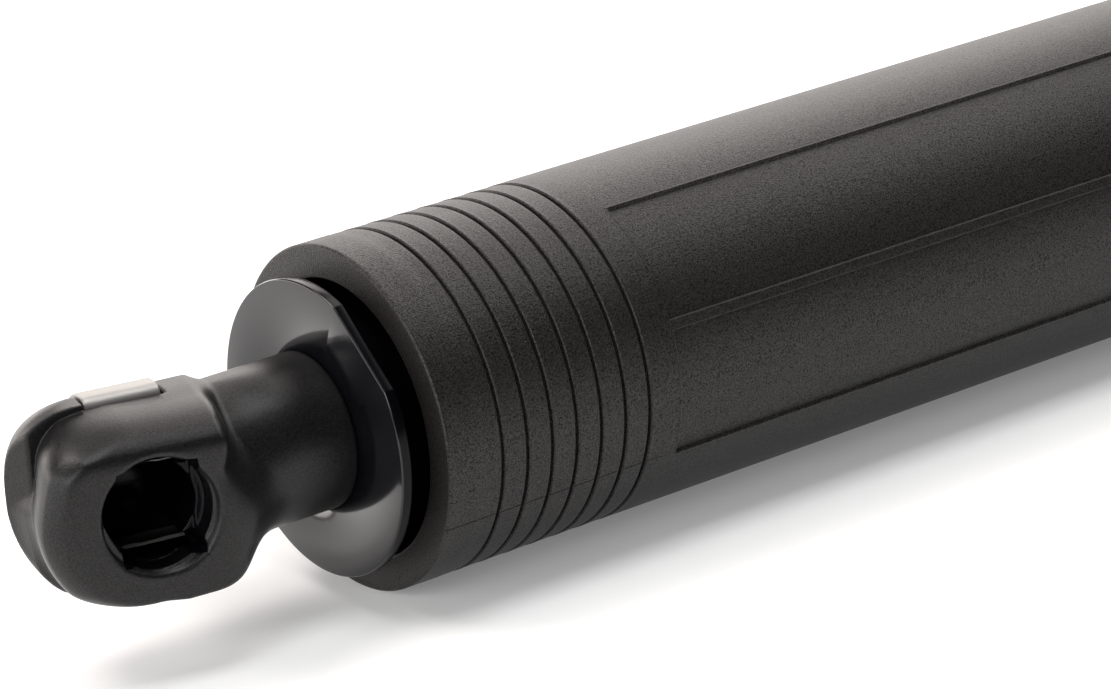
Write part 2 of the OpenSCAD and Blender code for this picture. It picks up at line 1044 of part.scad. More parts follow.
module windings() {
    color([0.72, 0.4, 0.2])
        union() {
            pipe(armature_x - 4, armature_x - fit, winding_r, shaft_r + 1.6);
            pipe(armature_end + fit, armature_end + 4, winding_r, shaft_r + 1.6);
            for (i = [0 : slot_count - 1])
                rotate([360 / slot_count * i, 0, 0])
                    translate([0, 0, slot_middle])
                        bar(armature_x - 1, armature_end + 1, slot_r);
        }
}

module commutator() {
    color([0.75, 0.45, 0.25])
        difference() {
            pipe(commutator_x, commutator_x + commutator_width, commutator_r, shaft_r);
            for (i = [0 : slot_count - 1])
                rotate([360 / slot_count * (i + 0.5), 0, 0])
                    translate([commutator_x - 1, -0.25, commutator_r - 1])
                        cube([commutator_width + 2, 0.5, 3]);
        }
}

module brush_holder() {
    color([0.15, 0.15, 0.16])
        difference() {
            union() {
                bar(motor_end - 3, motor_end, can_bore - fit);
                for (turn = [90, 270])
                    rotate([turn, 0, 0])
                        translate([commutator_x + 0.5, -3, 5.2])
                            cube([8, 6, 5]);
            }
            bar(motor_end - 4, motor_end + 1, shaft_r + fit / 2);
            bar(commutator_x, commutator_x + commutator_width + 1, commutator_r + 0.5);
            for (turn = [90, 270])
                rotate([turn, 0, 0])
                    translate([commutator_x + 1.2, -2, 4])
                        cube([4.6, 4, 8]);
        }
}

module brushes() {
    color([0.12, 0.12, 0.12])
        for (turn = [90, 270])
            rotate([turn, 0, 0])
                translate([commutator_x + 1.3, -1.9, commutator_r + fit])
                    cube([4.4, 3.8, 5.4]);
}

module brake_disc() {
    color([0.6, 0.61, 0.62])
        pipe(brake_x + 3.6, brake_x + 6, brake_r, shaft_r);
}

// A cup that squeezes the brake disc lightly, so that the strut holds still between strokes
module brake_housing() {
    color([0.15, 0.15, 0.16])
        difference() {
            bar(motor_end, brake_end, motor_r - 0.6);
            bar(motor_end + 3.4, brake_end - 2, brake_r + 0.4);
            bar(motor_end - 1, brake_end + 1, shaft_r + 0.2);
            bar(brake_end - 3, brake_end + 1, magnet_r + 0.6);
        }
}

module sensor_magnet() {
    color([0.25, 0.25, 0.26])
        pipe(magnet_x, shaft_end, magnet_r, shaft_r);
}

module sensor_board() {
    color([0.1, 0.3, 0.18])
        union() {
            bar(board_x, board_x + board_thick, inner_r - 0.4);
            translate([board_x - 1.2, -3, -2.5])
                cube([1.4, 6, 5]);
            translate([board_x - 2.6, -5, 6.4])
                cube([2.8, 10, 4]);
        }
}

module motor_damper() {
    color([0.1, 0.1, 0.1])
        pipe(motor_end - 12, motor_end - 4, inner_r, motor_r);
}

module lower_end_plug() {
    color([0.13, 0.13, 0.135])
        difference() {
            union() {
                bar(plug_x, housing_end + 0.1, inner_r);
                bar(housing_end, far_flange_x, housing_r);
                bar(far_flange_x - 1, far_flange_x + stud_depth - 1, stud_d / 2);
            }
            bar(plug_x - 1, plug_x + 4, inner_r - 3);
            loop(plug_bead_x, housing_r, housing_wall + bead_r + fit);
            pipe(
                far_seal_x - seal_r - fit,
                far_seal_x + seal_r + fit,
                inner_r + 1,
                inner_r - 2 * seal_r
            );
            rotate([180, 0, 0])
                translate([0, 0, gland_reach])
                    bar(plug_x - 1, far_flange_x + 1, gland_r);
            flat_cut(housing_end, far_flange_x, flat_reach, 90);
            flat_cut(housing_end, far_flange_x, flat_reach, 270);
        }
}

module lower_seal() {
    color([0.1, 0.1, 0.1])
        loop(far_seal_x, inner_r - seal_r + fit / 2, seal_r);
}

// Sleeve and flange for the motor's lead, which comes out beside the neck
module cable_gland() {
    color([0.09, 0.09, 0.09])
        rotate([180, 0, 0])
            translate([0, 0, gland_reach])
                difference() {
                    union() {
                        bar(housing_end, far_flange_x, gland_r);
                        bar(far_flange_x, gland_x, gland_flange_r);
                        translate([gland_x, 0, 0])
                            rotate([0, 90, 0])
                                cylinder(r1 = gland_r + 0.6, r2 = gland_r - 0.1, h = 6);
                    }
                    bar(housing_end - 1, gland_x + 7, gland_bore);
                }
}

module lower_ball_socket() {
    far_end()
        ball_socket();
}

module lower_clip() {
    far_end()
        ball_clip();
}

upper_ball_socket();
upper_clip();
upper_end_plug();
cover_tube();
cover_seal();
cover_lock_ring();
cover_slide_ring();
upper_spring_seat();
push_tube();
spindle_nut();
spring();
housing_tube();
housing_slide_ring();
spring_sleeve();
lower_spring_seat();
bearing_housing();
bearing_outer_ring();
bearing_snap_ring();
bearing_inner_ring();
bearing_balls();
bearing_cage();
spindle();
spindle_tip_guide();
tip_clip();
spindle_lock_nut();
drive_pin();
output_carrier();
output_pins();
output_planet_1();
output_planet_2();
output_planet_3();
output_sun();
input_carrier();
input_pins();
input_planet_1();
input_planet_2();
input_planet_3();
input_sun();
gearbox_damper();
gearbox_housing();
motor_plate();
motor_can();
motor_magnets();
motor_shaft();
armature();
windings();
commutator();
front_bush();
brush_holder();
brushes();
brake_disc();
brake_housing();
sensor_magnet();
sensor_board();
motor_damper();
lower_end_plug();
lower_seal();
cable_gland();
lower_ball_socket();
lower_clip();
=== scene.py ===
import json
import math

import bpy
import numpy as np
from mathutils import Matrix, Vector


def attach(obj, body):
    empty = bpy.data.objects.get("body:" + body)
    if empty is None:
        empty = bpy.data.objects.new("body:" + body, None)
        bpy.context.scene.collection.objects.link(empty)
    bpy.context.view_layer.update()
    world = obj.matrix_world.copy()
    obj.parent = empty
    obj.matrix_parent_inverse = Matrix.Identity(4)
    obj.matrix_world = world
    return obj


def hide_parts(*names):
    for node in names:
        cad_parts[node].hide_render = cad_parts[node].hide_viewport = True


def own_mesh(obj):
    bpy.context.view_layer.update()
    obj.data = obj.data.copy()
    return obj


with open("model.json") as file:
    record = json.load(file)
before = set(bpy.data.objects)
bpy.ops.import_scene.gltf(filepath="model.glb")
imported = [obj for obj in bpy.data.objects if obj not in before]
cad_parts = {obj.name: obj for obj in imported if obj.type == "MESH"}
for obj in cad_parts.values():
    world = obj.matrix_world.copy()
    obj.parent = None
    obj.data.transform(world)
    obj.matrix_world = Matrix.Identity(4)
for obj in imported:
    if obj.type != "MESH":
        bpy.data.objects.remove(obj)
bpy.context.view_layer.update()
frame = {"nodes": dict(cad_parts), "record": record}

MM = 0.001

# Camera, in metres in the frame's axes
CAMERA_PLACE = (-0.221768, -0.385751, 0.173226)
CAMERA_FORWARD = (0.54726, 0.76386, -0.34197)
CAMERA_RIGHT = (0.79534, -0.60194, -0.07177)
CAMERA_LENS = 150.68
CAMERA_SENSOR = 36.0
CAMERA_NEAR = 0.01
CAMERA_FAR = 20

# The sizes from here on are in millimetres and, unless a comment says otherwise, in the strut's axes:
# X along it from the near ball's centre, -Y out of the sockets' mouths, Z up. Turns are degrees from Z.
# What seats on another piece takes its size from that piece, as in the part's source.
STROKE = 200
FAR_BALL_X = 666.6
FIT = 0.05

# Socket, in the head's own axes: X towards the neck, -Y out of the mouth, Z up
HEAD_BEND = math.radians(13.2)
HEAD_FRONT = -8.9
HEAD_BACK = 8.2
HEAD_HALF = 9.6
NECK_R = 8.6
NECK_START = 5.0
NECK_REACH = 22.5
STUD_R = 4.0 + FIT
STUD_START = NECK_REACH - 11
SEAT_R = 5.0 + FIT
LOBE_FRONT = 0.4
LOBE_HALF = 10.05
LOBE_RISE = 0.45

# Grid for the socket's mesh
NET_LOW = (-13.5, -10, -11.5)
NET_HIGH = (24, 14.5, 11.5)
NET_STEP = 0.22

# Clip, and the channel and windows that it runs in. A span is measured from the ball towards the mouth.
CLIP_X = (-3.7, 4.5)
CLIP_GAP = 0.15
CLIP_SINK = 0.4
CLIP_HALF = 0.4
CLIP_OUT = CLIP_GAP + 2 * CLIP_HALF - CLIP_SINK
CLIP_TRAVEL = 2.5
CLIP_EDGE = 0.14
CLIP_COLUMNS = 17
CLIP_BACK_ROUND = 5.95
HOOK_TIP = (-4.55, 4.25)
HOOK_BEND = (-3.45, 5.7)
HOOK_MIDDLE = 0.4
HOOK_NARROW = 0.18
HOOK_NARROW_SPAN = (2.6, 1.2)
HOOK_THIN = 0.5
HOOK_THIN_SPAN = (3.2, 1.2)
# How far the hooks' steel is greasy and painted darker as shade inside the window, and over what span
HOOK_GREASE_AND_SHADE = 0.9
HOOK_GREASE_AND_SHADE_SPAN = (1, 1.5)
TIP_HOLLOW_R = 4.65
TIP_SLANT = 0.8
LEG_BACK = LOBE_FRONT + 0.3
LEG_GAP = 0.2
CHANNEL_PLAY = 0.25
CHANNEL_X = (CLIP_X[0] - CHANNEL_PLAY, CLIP_X[1] + CHANNEL_PLAY)
CHANNEL_ROUND = 5.4
CHANNEL_EDGE = 0.12
WINDOW_HALF = 5.1
POCKET_Y = (-5.2, LEG_BACK + 2 * CLIP_HALF + CLIP_TRAVEL + LEG_GAP)
POCKET_Z = (3.9, 6.3)

# Front body of the socket. A span is a start and a width for fade or smooth_step, along X, Y or Z.
# First its outline from the front, then how it narrows towards the lobe, then the dome and its soft edges.
BODY_REACH = 12.1
BODY_ROUND = 12.2
BODY_POWER = 2.6
END_SPAN = (-2, 4)
BODY_TAPER = 1.6
TOP_TAPER = 0.75
TOP_TAPER_SPAN = (-0.5, 3.8)
TAPER_FRONT = -6.5
TAPER_DEEP = 6.9
CROWN_GAP = 0.03
CROWN_RISE = 0.42
CROWN_NECK_X = 9
CROWN_LONG = 13
TOP_ROUND = 3.0
TOP_SHARPER = 1.2
NECK_SIDE_X = 9.3
NECK_SIDE_LEAN = 0.1
NECK_SIDE_TOP = 3
NECK_SIDE_ROUND = 2.5
NECK_SIDE_SPAN = (2, 5)
LOW_CORNER = (9.1, -7.84)
LOW_CORNER_WAY = (0.81, -0.585)
LOW_CORNER_ROUND = 2.0
DOME_START = 5
DOME_R = 5
DOME_LOW = 1.86
DOME_EASE = 0.86
DOME_SPAN = (-3, 8)
EDGE_ROUND = 1.9
END_EDGE_ROUND = 2.4
END_EDGE_SPAN = (1, 8)
LOW_EDGE_ROUND = 3.2
LOW_EDGE_X = (2, 6)
LOW_EDGE_TOP = (-1, 7)
LOW_EDGE_FOOT = (-9.4, 4)
BODY_BACK_ROUND = 5.8
BODY_TAIL_ROUND = 8.0

# Lobe of the socket, and how it and the neck join the front body
LOBE_ROUND = 12.55
LOBE_MIDDLE = 1.8
LOBE_POWER = 2.9
LOBE_TOP_ROUND = 0.5
LOBE_FRONT_ROUND = 0.15
LOBE_CORNER = (-10.3, LOBE_FRONT)
LOBE_CORNER_WAY = (-0.848, -0.53)
LOBE_CORNER_ROUND = 0.25
LOBE_BACK_ROUND = 6.2
LOBE_TAIL_ROUND = 7.0
LOBE_NECK_X = -1
JOIN_ROUND = 0.1
JOIN_LOW_ROUND = 2.4
JOIN_SPAN = (-1, 3.5)
NECK_END_ROUND = 0.4
NECK_JOIN_ROUND = 1.6
NECK_LOW_ROUND = 6.0
NECK_JOIN_SPAN = (-6, 10)
SCOOP_SPAN = (-16.5, 7)
SCOOP_FROM_TURN = (-5, 40)
SCOOP_TO_TURN = (50, 80)
TOP_LIMIT = 0.02
TOP_LIMIT_ROUND = 0.3
FACE_SLOPE = 0.25
FACE_SLOPE_X = 7.8
FACE_SLOPE_SPAN = (-7, 9)
FACE_ROUND = 0.8

# Mouth: a bore with one flat side, and a dish around it
MOUTH_BORE = 6.0
MOUTH_END = -5.4
MOUTH_FLAT = 5.25
MOUTH_FLAT_WAY = (0.894, 0.447)
MOUTH_FLAT_ROUND = 1.0
MOUTH_EDGE = 0.35
DISH_MIDDLE = (0.25, -0.15)
DISH_DEEP = 0.9
DISH_SLOPE = 0.6
DISH_SCALE = 0.857

# Cover tube, with its panels, lips, grooves and parting seam, past the near end plug's flange
FLANGE_THICK = 1.4
COLLAR_X = NECK_REACH + FLANGE_THICK + 2.6
COVER_R = 19.0
COLLAR_BORE = COVER_R - 3.7
COVER_BORE = COVER_R - 1.6
STEP_X = COLLAR_X + 24
HOUSING_X = STEP_X + 3 + STROKE
COVER_END = HOUSING_X + 38
COVER_LENGTH = COVER_END - COLLAR_X
COVER_CHAMFER = 0.6
PANEL_START = 30.4
PANEL_END = 12.0
PANEL_DEPTH = 0.4
PANEL_WALL = 0.24
PANEL_EDGES = (24.6, 115.7)
PANEL_EDGE_TURN = 0.55
RIB_TURN = 70.1
RIB_HALF = 1.5
RIB_EDGE_TURN = 0.5
LIP_RISE = 0.045
LIP_TURN = 0.3
LIP_AHEAD = 0.1
LIP_HALF = 0.16
LIP_START = 0.2
SEAM_TURN = 114.7
SEAM_HALF = 0.2
SEAM_DEPTH = 0.12
GROOVE_START = 6.97
GROOVE_PITCH = 3.22
GROOVE_COUNT = 7

# Near end plug: a flange with a flat, a shoulder in the collar, and a spigot in the push tube
FLANGE_R = COLLAR_BORE + 0.95
FLAT_REACH = FLANGE_R - 0.95
FLAT_TURN = 41.7
PLUG_BORE = 3.5
PLUG_R = 12.4
SHOULDER_X = COLLAR_X + 9
SHOULDER_R = COLLAR_BORE - FIT
SHOULDER_END = SHOULDER_X + 8
SPIGOT_R = 7.6
SPIGOT_END = SHOULDER_END + 15

# Housing, with two rolled beads, and the far end plug with the lead's gland
FAR_FLANGE_X = FAR_BALL_X - NECK_REACH
HOUSING_R = COVER_BORE - 1.0
HOUSING_BORE = HOUSING_R - 1.2
HOUSING_END = FAR_FLANGE_X - 6
BEADS = (502.5, HOUSING_END - 4)
BEAD_HALF = 1.2
BEAD_DEEP = 0.75
BEAD_ROUND = 0.8
BEAD_INNER_HALF = 1.6
BEAD_INNER_DEEP = 0.65
BEAD_INNER_ROUND = 1.0
FAR_PLUG_X = HOUSING_END - 9
FAR_PLUG_R = HOUSING_BORE - 0.1
FAR_PLUG_BORE = HOUSING_BORE - 3
FAR_PLUG_WEB_X = FAR_PLUG_X + 4
GLAND_X = 636
GLAND_R = 2.55
GLAND_BORE = 1.7
GLAND_DROP = 12.5

# Spring at full length
WIRE_R = 1.5
COIL_R = HOUSING_BORE - 0.5 - WIRE_R
SPRING_X = SHOULDER_END + 2
SPRING_END = 493.5
SPRING_RISE = SPRING_END - SPRING_X - 2 * WIRE_R
SPRING_COILS = 44
SPRING_STEPS = 20
SPRING_SIDES = 8

# Grease, glossy and painted darker as shade in recesses, with the radii that it reaches out to in the socket
GREASE_SHADE_SEAT_R = 6.3
GREASE_SHADE_BORE = 6.25
GREASE_ROUGH = 0.2
GREASE_SHINE = 0.12
# Painted shade: the grease's near-black colour darkens the hollows, hooks and plug that it covers
GREASE_SHADE_COLOR = (0.002, 0.002, 0.003, 1)

# Floor and light, in metres in the frame's axes
FLOOR_Z = -0.019
FLOOR_HALF = 3.0
FLOOR_COLOR = (0.9, 0.9, 0.9, 1)
FLOOR_ROUGH = 0.9
FLOOR_GLOW = 0.17
WARM = (1.0, 0.945, 0.905)
WHITE = (1, 1, 1)
WARM_FROM_Y = 0.2
LAMP_TARGET = (0.05, 0, 0)
WORLD_LEVEL = 0.02


def set_camera():
    forward = Vector(CAMERA_FORWARD).normalized()
    right = Vector(CAMERA_RIGHT)
    right = (right - forward * right.dot(forward)).normalized()
    up = right.cross(forward)
    turn = Matrix((right, up, -forward)).transposed()
    data = bpy.data.cameras.new("photo_camera")
    data.sensor_fit = "HORIZONTAL"
    data.sensor_width = CAMERA_SENSOR
    data.lens = CAMERA_LENS
    data.clip_start = CAMERA_NEAR
    data.clip_end = CAMERA_FAR
    camera = bpy.data.objects.new("photo_camera", data)
    bpy.context.scene.collection.objects.link(camera)
    camera.matrix_world = Matrix.Translation(CAMERA_PLACE) @ turn.to_4x4()
    bpy.context.scene.camera = camera


# Materials

# Where nearly all of a noise texture's values lie
NOISE_LOW = 0.33
NOISE_HIGH = 0.67


def new_material(name):
    material = bpy.data.materials.new(name)
    material.use_nodes = True
    nodes = material.node_tree.nodes
    links = material.node_tree.links
    shader = next(n for n in nodes if n.type == "BSDF_PRINCIPLED")
    return material, nodes, links, shader


def finish_material(
        name, color, rough, grain, bump, metallic=0.0, spread=0.0, shine=0.5, speck=0.0, grease_and_shade=False):
    """A finish with a fine grain: grain is the grain's size in mm, bump its depth in mm, spread how much
    it changes the roughness, and speck how much it changes the colour and the shine."""
    material, nodes, links, shader = new_material(name)
    shader.inputs["Base Color"].default_value = (*color, 1)
    shader.inputs["Roughness"].default_value = rough
    shader.inputs["Metallic"].default_value = metallic
    shader.inputs["Specular IOR Level"].default_value = shine
    place = nodes.new("ShaderNodeTexCoord")
    fine = nodes.new("ShaderNodeTexNoise")
    fine.inputs["Scale"].default_value = 1000 / grain
    fine.inputs["Detail"].default_value = 2
    links.new(place.outputs["Object"], fine.inputs["Vector"])
    height = nodes.new("ShaderNodeBump")
    height.inputs["Strength"].default_value = 1
    height.inputs["Distance"].default_value = bump * MM
    links.new(fine.outputs["Fac"], height.inputs["Height"])
    links.new(height.outputs["Normal"], shader.inputs["Normal"])
    if spread:
        ramp = nodes.new("ShaderNodeMapRange")
        ramp.inputs["To Min"].default_value = rough - spread
        ramp.inputs["To Max"].default_value = rough + spread
        links.new(fine.outputs["Fac"], ramp.inputs["Value"])
        links.new(ramp.outputs["Result"], shader.inputs["Roughness"])
    if speck:
        add_specks(nodes, links, shader, fine, speck)
    # Grease, and painted shade, where the mesh's values call for it
    if grease_and_shade:
        add_grease_and_shade(nodes, links, shader)
    return material


def blend_into(nodes, links, shader, name, kind, factor, pair):
    """Lets a factor blend a pair of values into one of the shader's sockets."""
    blend = nodes.new("ShaderNodeMix")
    blend.data_type = kind
    ends = [s for s in blend.inputs if s.enabled and s.name in ("A", "B")]
    for end, value in zip(ends, pair):
        end.default_value = value
    if shader.inputs[name].is_linked:
        links.new(shader.inputs[name].links[0].from_socket, ends[0])
    links.new(factor, blend.inputs["Factor"])
    links.new(next(s for s in blend.outputs if s.enabled), shader.inputs[name])


def add_specks(nodes, links, shader, fine, speck):
    """Lets the fine grain also change how light the surface is and how much it shines."""
    for name, kind in (("Specular IOR Level", "FLOAT"), ("Base Color", "RGBA")):
        span = nodes.new("ShaderNodeMapRange")
        span.inputs["From Min"].default_value = NOISE_LOW
        span.inputs["From Max"].default_value = NOISE_HIGH
        links.new(fine.outputs["Fac"], span.inputs["Value"])
        level = shader.inputs[name].default_value
        if kind == "FLOAT":
            pair = (level * (1 - speck), level * (1 + speck))
        else:
            dark, light = 1 - speck, 1 + 2 * speck
            pair = ((*[c * dark for c in level[:3]], 1), (*[c * light for c in level[:3]], 1))
        blend_into(nodes, links, shader, name, kind, span.outputs["Result"], pair)


def add_grease_and_shade(nodes, links, shader):
    """Turns a finish glossy with grease and dark with painted shade where the mesh's own values call for it.
    """
    where = nodes.new("ShaderNodeAttribute")
    where.attribute_name = "grease_and_shade"
    for name, kind, value in (
            ("Roughness", "FLOAT", GREASE_ROUGH),
            ("Base Color", "RGBA", GREASE_SHADE_COLOR),
            ("Specular IOR Level", "FLOAT", GREASE_SHINE)):
        pair = (shader.inputs[name].default_value, value)
        blend_into(nodes, links, shader, name, kind, where.outputs["Fac"], pair)


# A finish marked for grease turns glossy, and painted darker as shade, where a mesh's values call for it.
MATERIALS = {
    "socket_nylon": dict(color=(0.0060, 0.0056, 0.0058), rough=0.36, grain=0.16, bump=0.025,
                         spread=0.1, shine=0.31, speck=0.25, grease_and_shade=True),
    "clip_steel": dict(color=(0.37, 0.36, 0.35), rough=0.5, metallic=1.0, grain=0.2, bump=0.01,
                       spread=0.05, grease_and_shade=True),
    "cover_plastic": dict(color=(0.0078, 0.0068, 0.0064), rough=0.42, grain=0.17, bump=0.06,
                          spread=0.08, shine=0.31, speck=0.6),
    "plug_plastic": dict(color=(0.006, 0.006, 0.0075), rough=0.12, grain=0.8, bump=0.002,
                         spread=0.03, grease_and_shade=True),
    "seal_rubber": dict(color=(0.03, 0.03, 0.03), rough=0.65, grain=0.3, bump=0.01),
    "wire_steel": dict(color=(0.5, 0.51, 0.52), rough=0.35, metallic=1.0, grain=0.3, bump=0.002),
    "black_plastic": dict(color=(0.04, 0.04, 0.04), rough=0.45, grain=0.4, bump=0.006),
    "white_plastic": dict(color=(0.72, 0.71, 0.66), rough=0.4, grain=0.5, bump=0.004),
    "push_aluminium": dict(color=(0.72, 0.73, 0.74), rough=0.32, metallic=1.0, grain=0.4, bump=0.002),
    "spring_steel": dict(color=(0.09, 0.09, 0.095), rough=0.4, grain=0.5, bump=0.006),
    "housing_paint": dict(color=(0.035, 0.035, 0.037), rough=0.36, grain=0.4, bump=0.008, spread=0.05),
    "cast_metal": dict(color=(0.6, 0.61, 0.62), rough=0.45, metallic=1.0, grain=0.5, bump=0.01),
    "bearing_steel": dict(color=(0.75, 0.76, 0.77), rough=0.15, metallic=1.0, grain=0.4, bump=0.001),
    "cage_brass": dict(color=(0.72, 0.56, 0.3), rough=0.3, metallic=1.0, grain=0.4, bump=0.002),
    "shaft_steel": dict(color=(0.66, 0.67, 0.68), rough=0.25, metallic=1.0, grain=0.3, bump=0.001),
    "gearbox_plastic": dict(color=(0.1, 0.11, 0.14), rough=0.42, grain=0.4, bump=0.006),
    "motor_steel": dict(color=(0.55, 0.56, 0.57), rough=0.33, metallic=1.0, grain=0.4, bump=0.002),
    "magnet_grey": dict(color=(0.12, 0.12, 0.125), rough=0.6, grain=0.3, bump=0.01),
    "armature_steel": dict(color=(0.45, 0.46, 0.48), rough=0.4, metallic=1.0, grain=0.3, bump=0.004),
    "copper": dict(color=(0.78, 0.42, 0.24), rough=0.3, metallic=1.0, grain=0.4, bump=0.004),
    "carbon": dict(color=(0.05, 0.05, 0.05), rough=0.6, grain=0.3, bump=0.006),
    "board_green": dict(color=(0.03, 0.16, 0.07), rough=0.35, grain=0.6, bump=0.004),
}


# Mesh helpers

def add_piece(name, points, faces, slot, body, nodes=(), sharp=None, grease_and_shade=None):
    """A shaded mesh from points in millimetres, placed in the frame and tied to its CAD body."""
    mesh = bpy.data.meshes.new(name)
    points = np.asarray(points, float) * MM
    mesh.from_pydata(points.tolist(), [], [list(f) for f in faces])
    mesh.update()
    mesh.polygons.foreach_set("use_smooth", [True] * len(mesh.polygons))
    if sharp:
        mesh.set_sharp_from_angle(angle=math.radians(sharp))
    if grease_and_shade is not None:
        # Per point: how greasy it is and how much painted shade it takes
        mesh.attributes.new("grease_and_shade", "FLOAT", "POINT").data.foreach_set("value", grease_and_shade)
    mesh.materials.append(FINISH[slot])
    piece = bpy.data.objects.new(name, mesh)
    bpy.context.scene.collection.objects.link(piece)
    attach(piece, body)
    if nodes:
        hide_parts(*nodes)
    return piece


def grid_faces(rows, columns, closed_rows, closed_columns):
    """Quads between the points of a grid that is numbered row by row."""
    faces = []
    for i in range(rows if closed_rows else rows - 1):
        for k in range(columns if closed_columns else columns - 1):
            a = i * columns + k
            b = i * columns + (k + 1) % columns
            c = ((i + 1) % rows) * columns + (k + 1) % columns
            d = ((i + 1) % rows) * columns + k
            faces.append((a, b, c, d))
    return faces


def swept_faces(rows, columns):
    """Quads of a tube of closed sections, and a cap on each of its ends."""
    last = (rows - 1) * columns
    faces = grid_faces(rows, columns, False, True)
    faces.append(tuple(reversed(range(columns))))
    faces.append(tuple(last + k for k in range(columns)))
    return faces


def fillet_path(corners, steps=5, closed=False):
    """A path through (u, v, radius) corners, each rounded with its own radius."""
    points = []
    count = len(corners)
    for i, (u, v, radius) in enumerate(corners):
        here = np.array([u, v], float)
        if radius <= 0 or (not closed and i in (0, count - 1)):
            points.append(here)
            continue
        before = np.array(corners[i - 1][:2], float) - here
        after = np.array(corners[(i + 1) % count][:2], float) - here
        before /= np.linalg.norm(before)
        after /= np.linalg.norm(after)
        half = math.acos(max(-1, min(1, float(before @ after)))) / 2
        back = radius / math.tan(half)
        middle = here + (before + after) / np.linalg.norm(before + after) * radius / math.sin(half)
        first = here + before * back - middle
        last = here + after * back - middle
        sweep = math.atan2(first[0] * last[1] - first[1] * last[0], float(first @ last))
        for k in range(steps + 1):
            a = sweep * k / steps
            turn = np.array([first[0] * math.cos(a) - first[1] * math.sin(a),
                             first[0] * math.sin(a) + first[1] * math.cos(a)])
            points.append(middle + turn)
    return np.array(points)


def ring(x, radii, angles, offset=(0.0, 0.0)):
    """Points around X at one place along it, each with its own radius."""
    a = np.radians(angles)
    y = offset[0] - radii * np.sin(a)
    z = offset[1] + radii * np.cos(a)
    return np.stack([np.full(len(angles), x), y, z], 1)


def turned(profile, angles, radius=None, offset=(0.0, 0.0)):
    """Points of an (x, r) profile turned about X. radius may change r with the angle."""
    rings = []
    for x, r in profile:
        own = np.full(len(angles), r) if radius is None else radius(x, r, angles)
        rings.append(ring(x, own, angles, offset))
    return np.concatenate(rings)


def turned_piece(
        name, corners, slot, body, nodes, angles, radius=None, offset=(0.0, 0.0), steps=5, grease_and_shade_from=None):
    """A turned piece with filleted corners. Past the given place along X it is greasy, and painted darker as
    shade.
    """
    profile = fillet_path(corners, steps, closed=True)
    points = turned(profile, angles, radius, offset)
    faces = grid_faces(len(profile), len(angles), True, True)
    grease_and_shade = None if grease_and_shade_from is None else fade(points[:, 0], grease_and_shade_from, 0.1)
    return add_piece(name, points, faces, slot, body, nodes, grease_and_shade=grease_and_shade)


def even_angles(step, extra=()):
    """Angles around a turned piece: an even step, and closer ones where its radius changes."""
    angles = set(np.round(np.arange(0, 360, step), 4))
    angles |= {round(a % 360, 4) for a in extra}
    return np.array(sorted(angles))


def fade(value, start, width):
    """Goes evenly from 0 to 1 as a value goes from a start over a width."""
    return np.clip((value - start) / width, 0, 1)


def smooth_step(value, start, width):
    """Goes softly from 0 to 1 as a value goes from a start over a width."""
    t = fade(value, start, width)
    return t * t * (3 - 2 * t)


# Distance fields for the moulded sockets

def round_max(a, b, r):
    """Two fields cut with each other, with a rounded edge."""
    return np.minimum(-r, np.maximum(a, b)) + np.hypot(np.maximum(a + r, 0), np.maximum(b + r, 0))


def round_min(a, b, r):
    """Two fields joined, with a rounded inner corner."""
    return -round_max(-a, -b, r)


def slant(u, v, at, way):
    """How far a place lies past a slanting face through a point, along the way that the face looks."""
    return way[0] * (u - at[0]) + way[1] * (v - at[1])


def free_end(x, z, reach, middle, half, power):
    """Distance from a round end that is squarer above the ball's axis than below it."""
    left = np.minimum(x, 0)
    below = np.hypot(left, z) - reach
    left = np.minimum(x + middle, 0) / (reach - middle)
    above = ((np.abs(left) ** power + (np.maximum(z, 0) / half) ** power) ** (1 / power) - 1) * half
    return below + (above - below) * smooth_step(z, *END_SPAN)


def rounded_back(body, end, top, back, back_round, tail_round):
    """Rounds the back edge of a body over its top and bottom, and around its free end."""
    return np.maximum(round_max(top, back, back_round), np.maximum(body, round_max(end, back, tail_round)))


def box_field(x, y, z, low, high):
    """How far a place lies outside a box, or less than nothing inside it."""
    d = np.maximum(low[0] - x, x - high[0])
    d = np.maximum(d, np.maximum(low[1] - y, y - high[1]))
    return np.maximum(d, np.maximum(low[2] - z, z - high[2]))


def crown_height(x):
    """Half the front body's height, which rises a little towards the free end."""
    return HEAD_HALF + CROWN_GAP + CROWN_RISE * np.clip((CROWN_NECK_X - x) / CROWN_LONG, 0, 1)


def front_body(x, y, z):
    """The front body: narrower towards the lobe, flat in front below, and domed back over the top."""
    high = np.abs(z)
    crown = crown_height(x)
    share = fade(y, TAPER_FRONT, TAPER_DEEP)
    reach = BODY_REACH - (BODY_TAPER + TOP_TAPER * smooth_step(z, *TOP_TAPER_SPAN)) * share
    end = free_end(x * BODY_REACH / reach, z, BODY_ROUND, 0.0, BODY_REACH, BODY_POWER)
    side = round_max(end, high - crown, TOP_ROUND - TOP_SHARPER * share)
    neck_side = x + NECK_SIDE_LEAN * np.minimum(z, NECK_SIDE_TOP) - NECK_SIDE_X
    side = round_max(side, neck_side, NECK_SIDE_ROUND - smooth_step(z, *NECK_SIDE_SPAN))
    side = round_max(side, slant(x, z, LOW_CORNER, LOW_CORNER_WAY), LOW_CORNER_ROUND)
    ahead = np.maximum(LOBE_FRONT - y, 0) / (LOBE_FRONT - HEAD_FRONT)
    above = np.maximum(z - DOME_START, 0) / (crown - DOME_START)
    dome = (np.hypot(ahead, above) - 1) * DOME_R * (DOME_LOW - DOME_EASE * smooth_step(z, *DOME_SPAN))
    low_edge = LOW_EDGE_ROUND * smooth_step(x, *LOW_EDGE_X)
    low_edge = low_edge * (1 - smooth_step(z, *LOW_EDGE_TOP)) * smooth_step(z, *LOW_EDGE_FOOT)
    body = round_max(side, dome, EDGE_ROUND + END_EDGE_ROUND * smooth_step(-x, *END_EDGE_SPAN) + low_edge)
    return rounded_back(body, end, high - HEAD_HALF, y - HEAD_BACK, BODY_BACK_ROUND, BODY_TAIL_ROUND)


